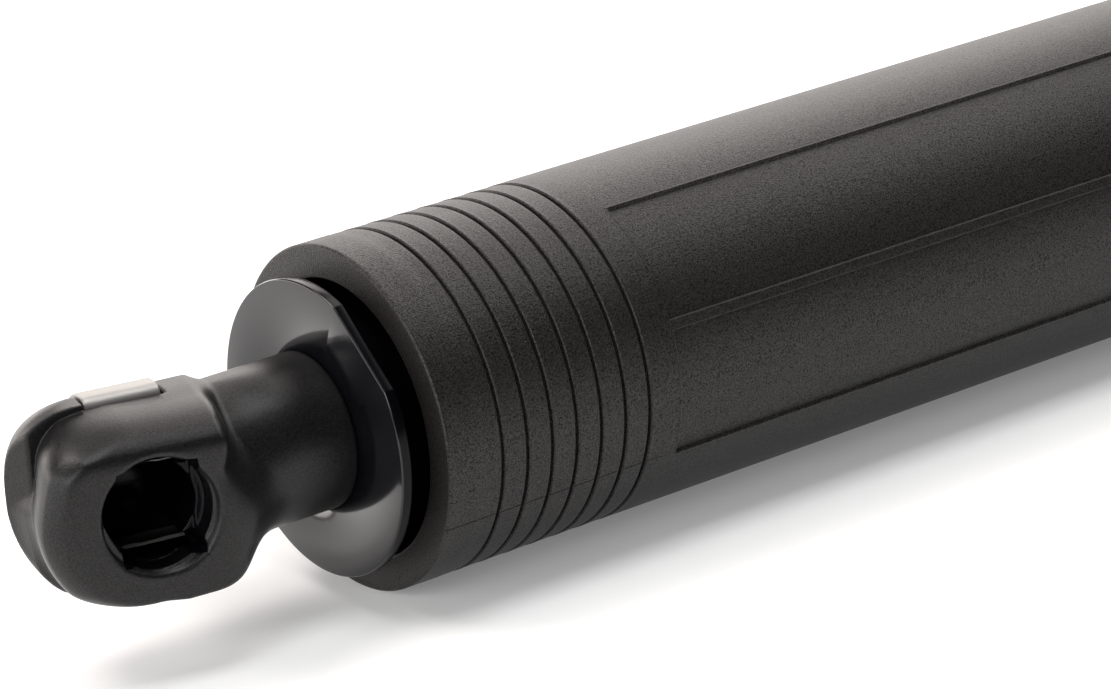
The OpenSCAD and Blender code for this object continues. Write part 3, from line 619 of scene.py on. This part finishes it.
def back_lobe(x, y, z):
    """The lobe behind the front body, which stands a little out past it."""
    top = np.abs(z) - LOBE_HALF
    end = free_end(x, z, LOBE_ROUND, LOBE_MIDDLE, LOBE_HALF, LOBE_POWER)
    lobe = round_max(end, top, LOBE_TOP_ROUND)
    lobe = round_max(lobe, LOBE_FRONT - y, LOBE_FRONT_ROUND)
    lobe = round_max(lobe, slant(x, y, LOBE_CORNER, LOBE_CORNER_WAY), LOBE_CORNER_ROUND)
    lobe = rounded_back(lobe, end, top, y - HEAD_BACK - LOBE_RISE, LOBE_BACK_ROUND, LOBE_TAIL_ROUND)
    return round_max(lobe, x - LOBE_NECK_X, LOBE_TOP_ROUND)


def neck_field(along, beside, z):
    """The neck along its own bent axis, hollowed a little where it leaves the head's upper front."""
    lean = np.degrees(np.arctan2(-beside, z))
    scoop = smooth_step(-along, *SCOOP_SPAN)
    scoop = scoop * smooth_step(lean, *SCOOP_FROM_TURN) * (1 - smooth_step(lean, *SCOOP_TO_TURN))
    neck = round_max(np.hypot(beside, z) - NECK_R + scoop, along - NECK_REACH, NECK_END_ROUND)
    return np.maximum(neck, NECK_START - along)


def mouth_field(x, y, z):
    """What the mouth takes away: a bore with one flat side, and a shallow dish around it."""
    flat = -MOUTH_FLAT_WAY[0] * x - MOUTH_FLAT_WAY[1] * z - MOUTH_FLAT
    mouth = round_max(np.hypot(x, z) - MOUTH_BORE, flat, MOUTH_FLAT_ROUND)
    deep = y - HEAD_FRONT - DISH_DEEP
    dish = DISH_SCALE * (np.hypot(x - DISH_MIDDLE[0], z - DISH_MIDDLE[1]) - MOUTH_BORE + DISH_SLOPE * deep)
    return np.maximum(np.minimum(mouth, np.maximum(dish, deep)), y - MOUTH_END)


def clip_channel(x, y, z):
    """What the clip's channel over the back takes away."""
    flat = round_max(np.abs(z) - HEAD_HALF + CLIP_SINK, y - HEAD_BACK + CLIP_SINK, CHANNEL_ROUND)
    beside = np.maximum(CHANNEL_X[0] - x, x - CHANNEL_X[1])
    return np.maximum(beside, np.maximum(-flat, LEG_BACK - LEG_GAP - y))


def clip_windows(x, y, z):
    """What the hooks' window in the mouth, the pockets beside the ball and the legs' slots take away."""
    far_out = 30
    low = (CHANNEL_X[0], -far_out, -WINDOW_HALF)
    window = box_field(x, y, z, low, (CHANNEL_X[1], -WINDOW_HALF, WINDOW_HALF))
    for turn in (1, -1):
        for front, out in ((POCKET_Y[0], POCKET_Z[1]), (LEG_BACK - LEG_GAP, far_out)):
            low = (CHANNEL_X[0], front, POCKET_Z[0])
            high = (CHANNEL_X[1], POCKET_Y[1], out)
            window = np.minimum(window, box_field(x, y, turn * z, low, high))
    return window


def socket_field(p):
    """Signed distance to the socket in the head's own axes."""
    x, y, z = p.T
    along = x * math.cos(HEAD_BEND) + y * math.sin(HEAD_BEND)
    beside = y * math.cos(HEAD_BEND) - x * math.sin(HEAD_BEND)
    join = JOIN_ROUND + JOIN_LOW_ROUND * (1 - smooth_step(z, *JOIN_SPAN))
    body = round_min(front_body(x, y, z), back_lobe(x, y, z), join)
    join = NECK_JOIN_ROUND + NECK_LOW_ROUND * smooth_step(-z, *NECK_JOIN_SPAN)
    body = round_min(body, neck_field(along, beside, z), join)
    body = round_max(body, np.abs(z) - crown_height(x) - TOP_LIMIT, TOP_LIMIT_ROUND)
    slope = FACE_SLOPE * np.maximum(x - FACE_SLOPE_X, 0) * smooth_step(z, *FACE_SLOPE_SPAN)
    body = round_max(body, HEAD_FRONT - y + slope, FACE_ROUND)
    body = round_max(body, -clip_channel(x, y, z), CHANNEL_EDGE)
    body = round_max(body, -mouth_field(x, y, z), MOUTH_EDGE)
    body = np.maximum(body, SEAT_R - np.sqrt(x * x + y * y + z * z))
    body = np.maximum(body, -np.maximum(np.hypot(x, z) - SEAT_R, y))
    body = round_max(body, -clip_windows(x, y, z), CHANNEL_EDGE)
    return np.maximum(body, -np.maximum(np.hypot(beside, z) - STUD_R, STUD_START - along))


def part_slices(others, first, second):
    """An index for a grid that slices the two axes of a pair and takes the third one whole."""
    index = [slice(None)] * 3
    index[others[0]] = first
    index[others[1]] = second
    return tuple(index)


def surface_net(field, low, high, step):
    """Meshes a field's zero level with one point in each cell that it crosses."""
    axes = [np.arange(a, b + step, step) for a, b in zip(low, high)]
    value = np.empty(tuple(len(a) for a in axes))
    for i, x in enumerate(axes[0]):
        y, z = np.meshgrid(axes[1], axes[2], indexing="ij")
        value[i] = field(np.stack([np.full(y.size, x), y.ravel(), z.ravel()], 1)).reshape(y.shape)
    cells = tuple(len(a) - 1 for a in axes)
    total = np.zeros(cells + (3,))
    count = np.zeros(cells)
    crossings = []
    for axis in range(3):
        others = [k for k in range(3) if k != axis]
        a = np.take(value, range(cells[axis]), axis)
        b = np.take(value, range(1, cells[axis] + 1), axis)
        cross = (a < 0) != (b < 0)
        crossings.append((cross, a < 0))
        t = np.where(cross, a / np.where(cross, a - b, 1), 0)
        for s1 in (0, 1):
            for s2 in (0, 1):
                first = slice(s1, s1 + cells[others[0]])
                second = slice(s2, s2 + cells[others[1]])
                pick = part_slices(others, first, second)
                hit = cross[pick]
                count += hit
                total[..., axis] += np.where(hit, t[pick], 0)
                total[..., others[0]] += hit * s1
                total[..., others[1]] += hit * s2
    used = count > 0
    number = np.full(cells, -1)
    number[used] = np.arange(int(used.sum()))
    points = np.argwhere(used) + total[used] / count[used][:, None]
    points = points * step + np.array([a[0] for a in axes])
    faces = np.concatenate([net_faces(axis, number, *crossings[axis]) for axis in range(3)])
    return settled(field, points, step), faces


def net_faces(axis, number, cross, below):
    """A quad between the four cells around each grid edge along an axis that the surface crosses."""
    others = [k for k in range(3) if k != axis]
    where = np.argwhere(cross[part_slices(others, slice(1, -1), slice(1, -1))])
    where[:, others] += 1
    quad = []
    for s1, s2 in ((0, 0), (1, 0), (1, 1), (0, 1)):
        cell = where.copy()
        cell[:, others[0]] -= 1 - s1
        cell[:, others[1]] -= 1 - s2
        quad.append(number[tuple(cell.T)])
    quad = np.stack(quad, 1)
    keep = below[tuple(where.T)] != (axis == 1)
    quad[~keep] = quad[~keep][:, ::-1]
    return quad


def settled(field, points, step):
    """Moves a net's points onto the field's zero level, in a few short steps."""
    nudge = step * 0.05
    longest = step * 0.4
    for _ in range(3):
        rises = [field(points + way) - field(points - way) for way in nudge * np.eye(3)]
        slope = np.stack(rises, 1) / (2 * nudge)
        move = slope * (field(points) / np.maximum((slope ** 2).sum(1), 0.25))[:, None]
        size = np.linalg.norm(move, axis=1, keepdims=True)
        points = points - move * np.minimum(1, longest / np.maximum(size, 1e-9))
    return points


# Sockets and clips, the same at both ends

def bent(points):
    """From the head's own axes to the near end of the strut."""
    c, s = math.cos(HEAD_BEND), math.sin(HEAD_BEND)
    x, y, z = points.T
    return np.stack([x * c + y * s, y * c - x * s, z], 1)


def far_end(points):
    """From the near end of the strut to its mirror image at the far end."""
    return points * [-1, 1, 1] + [FAR_BALL_X, 0, 0]


def both_ends(names, points, faces, slot, bodies, nodes, grease_and_shade, sharp=None):
    """One piece at the near end and its mirror image at the far end."""
    add_piece(names[0], points, faces, slot, bodies[0], [nodes[0]], sharp, grease_and_shade)
    add_piece(names[1], far_end(points), [f[::-1] for f in faces], slot, bodies[1], [nodes[1]], sharp, grease_and_shade)


def make_sockets():
    """The moulded heads, greasy and painted darker as shade around the ball, in the mouth's bore and in its
    window.
    """
    step = NET_STEP
    points, faces = surface_net(socket_field, NET_LOW, NET_HIGH, step)
    x, y, z = points.T
    deep = y - HEAD_FRONT
    # The grease mask: glossy, and painted darker as shade in the seat, the mouth's bore and the window
    seat = fade(-np.sqrt(x * x + y * y + z * z), -GREASE_SHADE_SEAT_R, 0.4)
    bore = fade(-np.hypot(x, z), -GREASE_SHADE_BORE, 0.3) * fade(deep, DISH_DEEP, 0.4)
    in_window = (np.abs(z) < WINDOW_HALF + 0.1) & (x > CHANNEL_X[0] - 0.1) & (x < CHANNEL_X[1] + 0.1)
    window = in_window * fade(deep, 0.3, 0.3)
    grease_and_shade = np.maximum(seat, np.maximum(bore, window) * (y < 0))
    both_ends(("upper_socket", "lower_socket"), bent(points), faces.tolist(), "socket_nylon",
              ("cover_side", "drive_side"), ("upper_ball_socket", "lower_ball_socket"), grease_and_shade)


def clip_line():
    """The clip's middle line as (y, z), from one hook's tip over the back to the other, with its normals."""
    top = HEAD_HALF + CLIP_OUT - CLIP_HALF
    back = HEAD_BACK + CLIP_OUT - CLIP_HALF
    leg = LEG_BACK + CLIP_HALF
    half = fillet_path([
        (*HOOK_TIP, 0), (*HOOK_BEND, 0.5), (leg, HOOK_BEND[1], 0.55), (leg, top, 0.8),
        (back, top, CLIP_BACK_ROUND), (back, 0, 0)], 10)
    near_tip = half[:1] * 0.94 + half[1:2] * 0.06
    half = np.concatenate([half[:1], near_tip, half[1:]])
    line = np.concatenate([half, (half * [1, -1])[::-1][1:]])
    run = np.gradient(line, axis=0)
    run /= np.linalg.norm(run, axis=1, keepdims=True)
    return line, np.stack([-run[:, 1], run[:, 0]], 1)


def clip_section():
    """Points around the sheet as (x, height off its middle), with broken edges."""
    left, right = CLIP_X
    across = np.linspace(left, right, CLIP_COLUMNS)
    across[0] += CLIP_EDGE
    across[-1] -= CLIP_EDGE
    side = CLIP_HALF - CLIP_EDGE
    front = [(left, -side), (left, side)] + [(x, CLIP_HALF) for x in across]
    return front + [(right, side), (right, -side)] + [(x, -CLIP_HALF) for x in across[::-1]]


def make_clips():
    """A sheet strip over the back, whose legs dive through the slots and end in thin, narrow hooks beside
    the ball. The hooks are greasy and painted darker as shade, apart from the cut faces of their tips, which
    leave room for the ball."""
    line, normal = clip_line()
    section = clip_section()
    points = []
    grease_and_shade = []
    last = len(line) - 1
    for i, (middle, out) in enumerate(zip(line, normal)):
        deep = -middle[0]
        # The hooks' grease also paints them darker as shade inside the window
        grease_and_shade += [HOOK_GREASE_AND_SHADE * fade(deep, *HOOK_GREASE_AND_SHADE_SPAN) if 0 < i < last else 0.0] * len(section)
        thin = 1 - HOOK_THIN * fade(deep, *HOOK_THIN_SPAN)
        narrow = 1 - HOOK_NARROW * fade(deep, *HOOK_NARROW_SPAN)
        for x, off in section:
            y, z = middle + out * off * thin
            if i in (0, last):
                rise = max(0.0, math.sqrt(max(0.0, TIP_HOLLOW_R ** 2 - x * x)) - HOOK_TIP[1])
                y += rise * TIP_SLANT
                z += rise * (1 if i == 0 else -1)
            points.append((HOOK_MIDDLE + (x - HOOK_MIDDLE) * narrow, y, z))
    faces = swept_faces(len(line), len(section))
    both_ends(("upper_clip_sheet", "lower_clip_sheet"), bent(np.array(points)), faces, "clip_steel",
              ("upper_clip", "lower_clip"), ("upper_clip", "lower_clip"), grease_and_shade, sharp=40)


# Near end plug, cover tube and housing

def flatted(full, reach, turns, start, end):
    """A rule for turned() that cuts flats into a round of a full radius, between two places along X."""
    widest = 1.2
    touch = 0.01

    def radius(x, r, angles):
        own = np.full(len(angles), float(r))
        if start - touch <= x <= end + touch:
            for turn in turns:
                off = np.radians((angles - turn + 180) % 360 - 180)
                limit = reach / np.cos(np.clip(off, -widest, widest))
                limit = np.where(np.abs(off) < widest, limit, np.inf)
                own = np.minimum(own, limit - max(0.0, full - r))
        return own

    return radius


def flat_corners(full, turns, near):
    """Angles close to the corners where flats meet a round of a full radius."""
    corner = math.degrees(math.acos(FLAT_REACH / full))
    return [turn + side * corner + d for turn in turns for side in (-1, 1) for d in near]


def make_upper_plug():
    start, end = NECK_REACH, NECK_REACH + FLANGE_THICK
    angles = even_angles(2, flat_corners(FLANGE_R, (FLAT_TURN,), (-0.8, -0.3, 0, 0.3, 0.8)))
    corners = [
        (start, PLUG_BORE, 0), (start, FLANGE_R, 0.2), (end, FLANGE_R, 0.3), (end, PLUG_R, 0.3),
        (SHOULDER_X, PLUG_R, 0.2), (SHOULDER_X, SHOULDER_R, 0.3), (SHOULDER_END, SHOULDER_R, 0.3),
        (SHOULDER_END, SPIGOT_R, 0.2), (SPIGOT_END, SPIGOT_R, 0.4), (SPIGOT_END, PLUG_BORE, 0),
    ]
    # Behind the flange's front the plug is greasy and painted darker as shade in the gap to the collar
    turned_piece("upper_plug", corners, "plug_plastic", "cover_side", ["upper_end_plug"], angles,
                 flatted(FLANGE_R, FLAT_REACH, (FLAT_TURN,), start, end), steps=7, grease_and_shade_from=start + 0.1)


# Depths cut into the cover's outside, as (place, depth): at the collar's face, measured from that face,
# at a groove, measured from its own place, and at the far end, measured back from it.
# A groove has a soft near side, and a crisp far edge that stands a little proud.
COVER_FRONT = [
    (0.0, 0.2), (0.01, 0.17), (0.15, 0.02), (0.18, 0.0), (0.5, 0.0), (3.2, 0.0), (4.4, 0.0),
    (4.55, 0.03), (5.6, 0.03),
]
GROOVE = [
    (-0.8, 0.05), (-0.52, 0.055), (-0.38, 0.08), (-0.31, 0.15), (-0.25, 0.32), (-0.18, 0.5), (-0.08, 0.56),
    (0.02, 0.54), (0.07, 0.4), (0.105, 0.17), (0.12, 0.115), (0.135, 0.1), (0.225, 0.01), (0.24, 0.0),
    (0.3, 0.004), (0.45, 0.02), (0.7, 0.03), (1.0, 0.03),
]
COVER_TAIL = [(-4, 0), (-0.4, 0.0), (-0.15, 0.07), (-0.05, 0.2), (0, 0.4)]

# Where rows and columns of points stand close beside the edges of the panels, in millimetres and in degrees
PANEL_START_ROWS = (-0.5, -0.34, -0.26, -0.18, -0.1, -0.03, 0.0, 0.05, 0.1, 0.16, 0.24, 0.35, 0.6)
PANEL_END_ROWS = (-0.6, -0.35, -0.24, -0.16, -0.08, 0.0, 0.2)
LAND_ROWS = (28.0, 29.4)
FIRST_PANEL_ROW = 36.0
PANEL_ROW_PITCH = 8.0
LAST_ROW_GAP = 3
EDGE_COLUMNS = (-0.8, -0.6, -0.45, -0.3, -0.15, 0, 0.12, 0.25, 0.38, 0.5, 0.6, 0.9)
SEAM_COLUMNS = (-0.4, -0.2, -0.1, 0, 0.1, 0.2, 0.4)


def cover_rows():
    """Places along the cover tube's outside with the depth of what is cut there, as (x, depth)."""
    rows = list(COVER_FRONT)
    for i in range(GROOVE_COUNT):
        at = GROOVE_START + i * GROOVE_PITCH
        rows += [(at + dx, d) for dx, d in GROOVE]
    panel_end = COVER_LENGTH - PANEL_END
    rows += [(x, 0) for x in LAND_ROWS]
    rows += [(PANEL_START + dx, 0) for dx in PANEL_START_ROWS]
    rows += [(x, 0) for x in np.arange(FIRST_PANEL_ROW, panel_end - LAST_ROW_GAP, PANEL_ROW_PITCH)]
    rows += [(panel_end + dx, 0) for dx in PANEL_END_ROWS]
    rows += [(COVER_LENGTH + dx, d) for dx, d in COVER_TAIL]
    return rows


def between(value, start, end, width):
    """Goes softly up over a width from a start, and softly down over a width before an end."""
    return smooth_step(value, start, width) * (1 - smooth_step(value, end - width, width))


def panel_depth(x, angles):
    """Depth of the panels at a place x along the tube and at each angle from straight up."""
    along = float(between(x, PANEL_START, COVER_LENGTH - PANEL_END, PANEL_WALL))
    depth = np.zeros(len(angles))
    for turn in (0, 180):
        a = (angles - turn) % 360
        inside = between(a, *PANEL_EDGES, PANEL_EDGE_TURN)
        rib = smooth_step(a, RIB_TURN - RIB_HALF - RIB_EDGE_TURN, RIB_EDGE_TURN)
        rib = rib * (1 - smooth_step(a, RIB_TURN + RIB_HALF, RIB_EDGE_TURN))
        depth = np.maximum(depth, inside * (1 - rib))
    return PANEL_DEPTH * along * depth - LIP_RISE * panel_lip(x, angles)


def panel_lip(x, angles):
    """Where a fine lip stands along the panels' edges, from 0 to 1."""
    half = PANEL_EDGES[1] - PANEL_EDGES[0]
    lip = np.zeros(len(angles))
    for turn in (0, 180):
        a = (angles - turn) % 360
        off = np.where(a < PANEL_EDGES[0] + half / 2, PANEL_EDGES[0] - a, a - PANEL_EDGES[1])
        within = float(PANEL_START - LIP_START < x < COVER_LENGTH - PANEL_END)
        beside = np.clip(1 - np.abs(off - LIP_TURN) / LIP_TURN, 0, 1) * within
        before = max(0.0, 1 - abs(x - PANEL_START + LIP_AHEAD) / LIP_HALF) * (off < LIP_TURN)
        lip = np.maximum(lip, np.maximum(beside, before))
    return lip


def make_cover_tube():
    extra = []
    for turn in (0, 180):
        for edge, way in zip((*PANEL_EDGES, RIB_TURN - RIB_HALF, RIB_TURN + RIB_HALF), (1, -1, -1, 1)):
            extra += [turn + edge + way * d for d in EDGE_COLUMNS]
        extra += [turn + SEAM_TURN + d for d in SEAM_COLUMNS]
    angles = even_angles(2, extra)
    seam = np.clip(1 - np.abs((angles - SEAM_TURN + 180) % 360 - 180) / SEAM_HALF, 0, 1)
    outside = cover_rows()
    points = []
    for x, cut in outside:
        own = COVER_R - cut - panel_depth(x, angles)
        if x < PANEL_START - 1:
            own = own - SEAM_DEPTH * seam
        points.append(ring(COLLAR_X + x, own, angles))
    rim = COVER_R - COVER_CHAMFER
    inside = fillet_path([
        (COVER_END, rim, 0), (COVER_END, COVER_BORE, 0.2), (STEP_X, COVER_BORE, 0.2),
        (STEP_X, COLLAR_BORE, 0.2), (COLLAR_X, COLLAR_BORE, 0.35), (COLLAR_X, rim, 0)], 4)
    points.append(turned(inside, angles))
    faces = grid_faces(len(outside) + len(inside), len(angles), True, True)
    add_piece("cover_shell", np.concatenate(points), faces, "cover_plastic", "cover_side", ["cover_tube"])


def make_housing():
    corners = [(HOUSING_X, HOUSING_R, 0.3)]
    for at in BEADS:
        for dx, deep in ((-BEAD_HALF, 0), (0, BEAD_DEEP), (BEAD_HALF, 0)):
            corners.append((at + dx, HOUSING_R - deep, BEAD_ROUND))
    corners += [(HOUSING_END, HOUSING_R, 0.3), (HOUSING_END, HOUSING_BORE, 0.1)]
    for at in reversed(BEADS):
        corners += [
            (at + BEAD_INNER_HALF, HOUSING_BORE, BEAD_ROUND),
            (at, HOUSING_BORE - BEAD_INNER_DEEP, BEAD_INNER_ROUND),
            (at - BEAD_INNER_HALF, HOUSING_BORE, BEAD_ROUND),
        ]
    corners += [(HOUSING_X, HOUSING_BORE, 0.2)]
    turned_piece("housing_shell", corners, "housing_paint", "drive_side", ["housing_tube"],
                 even_angles(2.5), steps=4)


# The gland's outside from the far flange on, as (x, r, fillet): a flange, and a sleeve with two grooves
GLAND = [
    (0.02, GLAND_R, 0), (0.02, 3.6, 0.1), (2.2, 3.6, 0.7), (2.6, 3.0, 0.3), (4.2, 2.9, 0.1),
    (4.5, 2.6, 0.1), (4.8, 2.9, 0.1), (6.4, 2.75, 0.1), (6.7, 2.5, 0.1), (7.0, 2.7, 0.1),
    (8.5, 2.6, 0.4), (8.5, GLAND_BORE, 0.15),
]


def make_lower_end():
    start, end = HOUSING_END + FIT, FAR_FLANGE_X
    turns = (90, 270)
    corners = [
        (end, PLUG_BORE, 0), (end, HOUSING_R, 0.9), (start, HOUSING_R, 0.4), (start, FAR_PLUG_R, 0.1),
        (FAR_PLUG_X, FAR_PLUG_R, 0.5), (FAR_PLUG_X, FAR_PLUG_BORE, 0.2),
        (FAR_PLUG_WEB_X, FAR_PLUG_BORE, 0.2), (FAR_PLUG_WEB_X, PLUG_BORE, 0),
    ]
    turned_piece("lower_plug", corners, "plug_plastic", "drive_side", ["lower_end_plug"],
                 even_angles(2, flat_corners(HOUSING_R, turns, (-0.6, -0.2, 0.2, 0.6))),
                 flatted(HOUSING_R, FLAT_REACH, turns, start, end), steps=6)
    gland = [(GLAND_X, GLAND_BORE, 0), (GLAND_X, GLAND_R, 0)]
    gland += [(end + x, r, fillet) for x, r, fillet in GLAND]
    turned_piece("lead_gland", gland, "seal_rubber", "drive_side", ["cable_gland"], even_angles(6),
                 offset=(0.0, -GLAND_DROP), steps=3)


def make_spring():
    share = np.linspace(0, 1, SPRING_COILS * SPRING_STEPS + 1)
    turn = 2 * np.pi * SPRING_COILS * share
    out = np.stack([0 * turn, np.sin(turn), np.cos(turn)], 1)
    along = SPRING_X + WIRE_R + SPRING_RISE * share
    middle = COIL_R * out + np.stack([along, 0 * turn, 0 * turn], 1)
    pitch = SPRING_RISE / SPRING_COILS
    round_way = 2 * np.pi * COIL_R
    run = np.stack([np.full(len(turn), pitch), round_way * np.cos(turn), -round_way * np.sin(turn)], 1)
    side = np.cross(run / np.linalg.norm(run, axis=1, keepdims=True), out)
    points = []
    for k in range(SPRING_SIDES):
        a = 2 * np.pi * k / SPRING_SIDES
        points.append(middle + WIRE_R * (math.cos(a) * out + math.sin(a) * side))
    points = np.stack(points, 1).reshape(-1, 3)
    faces = swept_faces(len(share), SPRING_SIDES)
    spring = add_piece("coil_spring", points, faces, "spring_steel", "cover_side", ["spring"], sharp=50)
    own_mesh(spring)


# Floor, world and lamps

def add_lamp(name, place, size, power, color):
    data = bpy.data.lights.new(name, "AREA")
    data.shape = "RECTANGLE"
    data.size, data.size_y = size
    data.energy = power
    data.color = color
    lamp = bpy.data.objects.new(name, data)
    bpy.context.scene.collection.objects.link(lamp)
    aim = Vector(LAMP_TARGET) - Vector(place)
    lamp.matrix_world = Matrix.Translation(place) @ aim.to_track_quat("-Z", "Y").to_matrix().to_4x4()


def add_math(nodes, links, operation, first, second):
    """A Math node on an output and another output or a number."""
    step = nodes.new("ShaderNodeMath")
    step.operation = operation
    links.new(first, step.inputs[0])
    if isinstance(second, float):
        step.inputs[1].default_value = second
    else:
        links.new(second, step.inputs[1])
    return step.outputs["Value"]


def make_stage():
    """A matt pale floor. It glows a little where it is seen, directly or in gloss, but lights nothing."""
    corners = [(x * FLOOR_HALF, y * FLOOR_HALF, FLOOR_Z) for x, y in ((-1, -1), (1, -1), (1, 1), (-1, 1))]
    mesh = bpy.data.meshes.new("floor")
    mesh.from_pydata(corners, [], [(0, 1, 2, 3)])
    floor = bpy.data.objects.new("floor", mesh)
    bpy.context.scene.collection.objects.link(floor)
    material, nodes, links, shader = new_material("floor_white")
    shader.inputs["Base Color"].default_value = FLOOR_COLOR
    shader.inputs["Roughness"].default_value = FLOOR_ROUGH
    shader.inputs["Specular IOR Level"].default_value = 0
    path = nodes.new("ShaderNodeLightPath")
    seen = path.outputs["Is Camera Ray"]
    for other in ("Is Glossy Ray", "Is Transmission Ray"):
        seen = add_math(nodes, links, "MAXIMUM", seen, path.outputs[other])
    glow = nodes.new("ShaderNodeEmission")
    links.new(add_math(nodes, links, "MULTIPLY", seen, FLOOR_GLOW), glow.inputs["Strength"])
    both = nodes.new("ShaderNodeAddShader")
    output = next(n for n in nodes if n.type == "OUTPUT_MATERIAL")
    links.new(shader.outputs["BSDF"], both.inputs[0])
    links.new(glow.outputs["Emission"], both.inputs[1])
    links.new(both.outputs["Shader"], output.inputs["Surface"])
    mesh.materials.append(material)


# Soft boxes as (place, width and height in metres, watts). Those behind WARM_FROM_Y are slightly warm.
LAMPS = {
    "back_right": ((0.9, 1.0, 0.2), (0.9, 0.35), 1.7),
    "back": ((0.05, 1.3, 0.2), (0.9, 0.35), 4.6),
    "back_left": ((-0.85, 1.0, 0.2), (0.9, 0.35), 5.1),
    "raised_back": ((0.8, 0.9, 0.6), (0.8, 0.6), 6.2),
    "high_right": ((0.75, 0.25, 1.05), (0.8, 0.6), 4.7),
    "high_side": ((0.95, -0.12, 0.85), (0.6, 0.5), 3.0),
    "overhead": ((-0.35, 0.5, 1.15), (0.7, 0.5), 9.0),
    "above_front": ((0.0, -0.2, 1.2), (0.6, 0.4), 5.5),
    "left_front": ((-0.9, -0.62, 0.52), (0.6, 0.6), 5.0),
    "left": ((-1.25, 0.1, 0.45), (1.4, 0.8), 9.5),
}


def make_light():
    world = bpy.data.worlds.new("studio")
    bpy.context.scene.world = world
    world.use_nodes = True
    shade = world.node_tree.nodes["Background"]
    shade.inputs["Color"].default_value = (*WHITE, 1)
    shade.inputs["Strength"].default_value = WORLD_LEVEL
    for name, (place, size, watts) in LAMPS.items():
        add_lamp(name, place, size, watts, WARM if place[1] > WARM_FROM_Y else WHITE)


FINISH = {name: finish_material(name, **values) for name, values in MATERIALS.items()}
set_camera()
make_stage()
make_light()
bpy.context.scene.view_settings.view_transform = "Standard"

for entry in frame["record"]["subparts"]:
    for part_slot in frame["nodes"][entry["node"]].material_slots:
        part_slot.material = FINISH[entry["material_slot"]]

make_sockets()
make_clips()
make_upper_plug()
make_cover_tube()
make_housing()
make_lower_end()
make_spring()
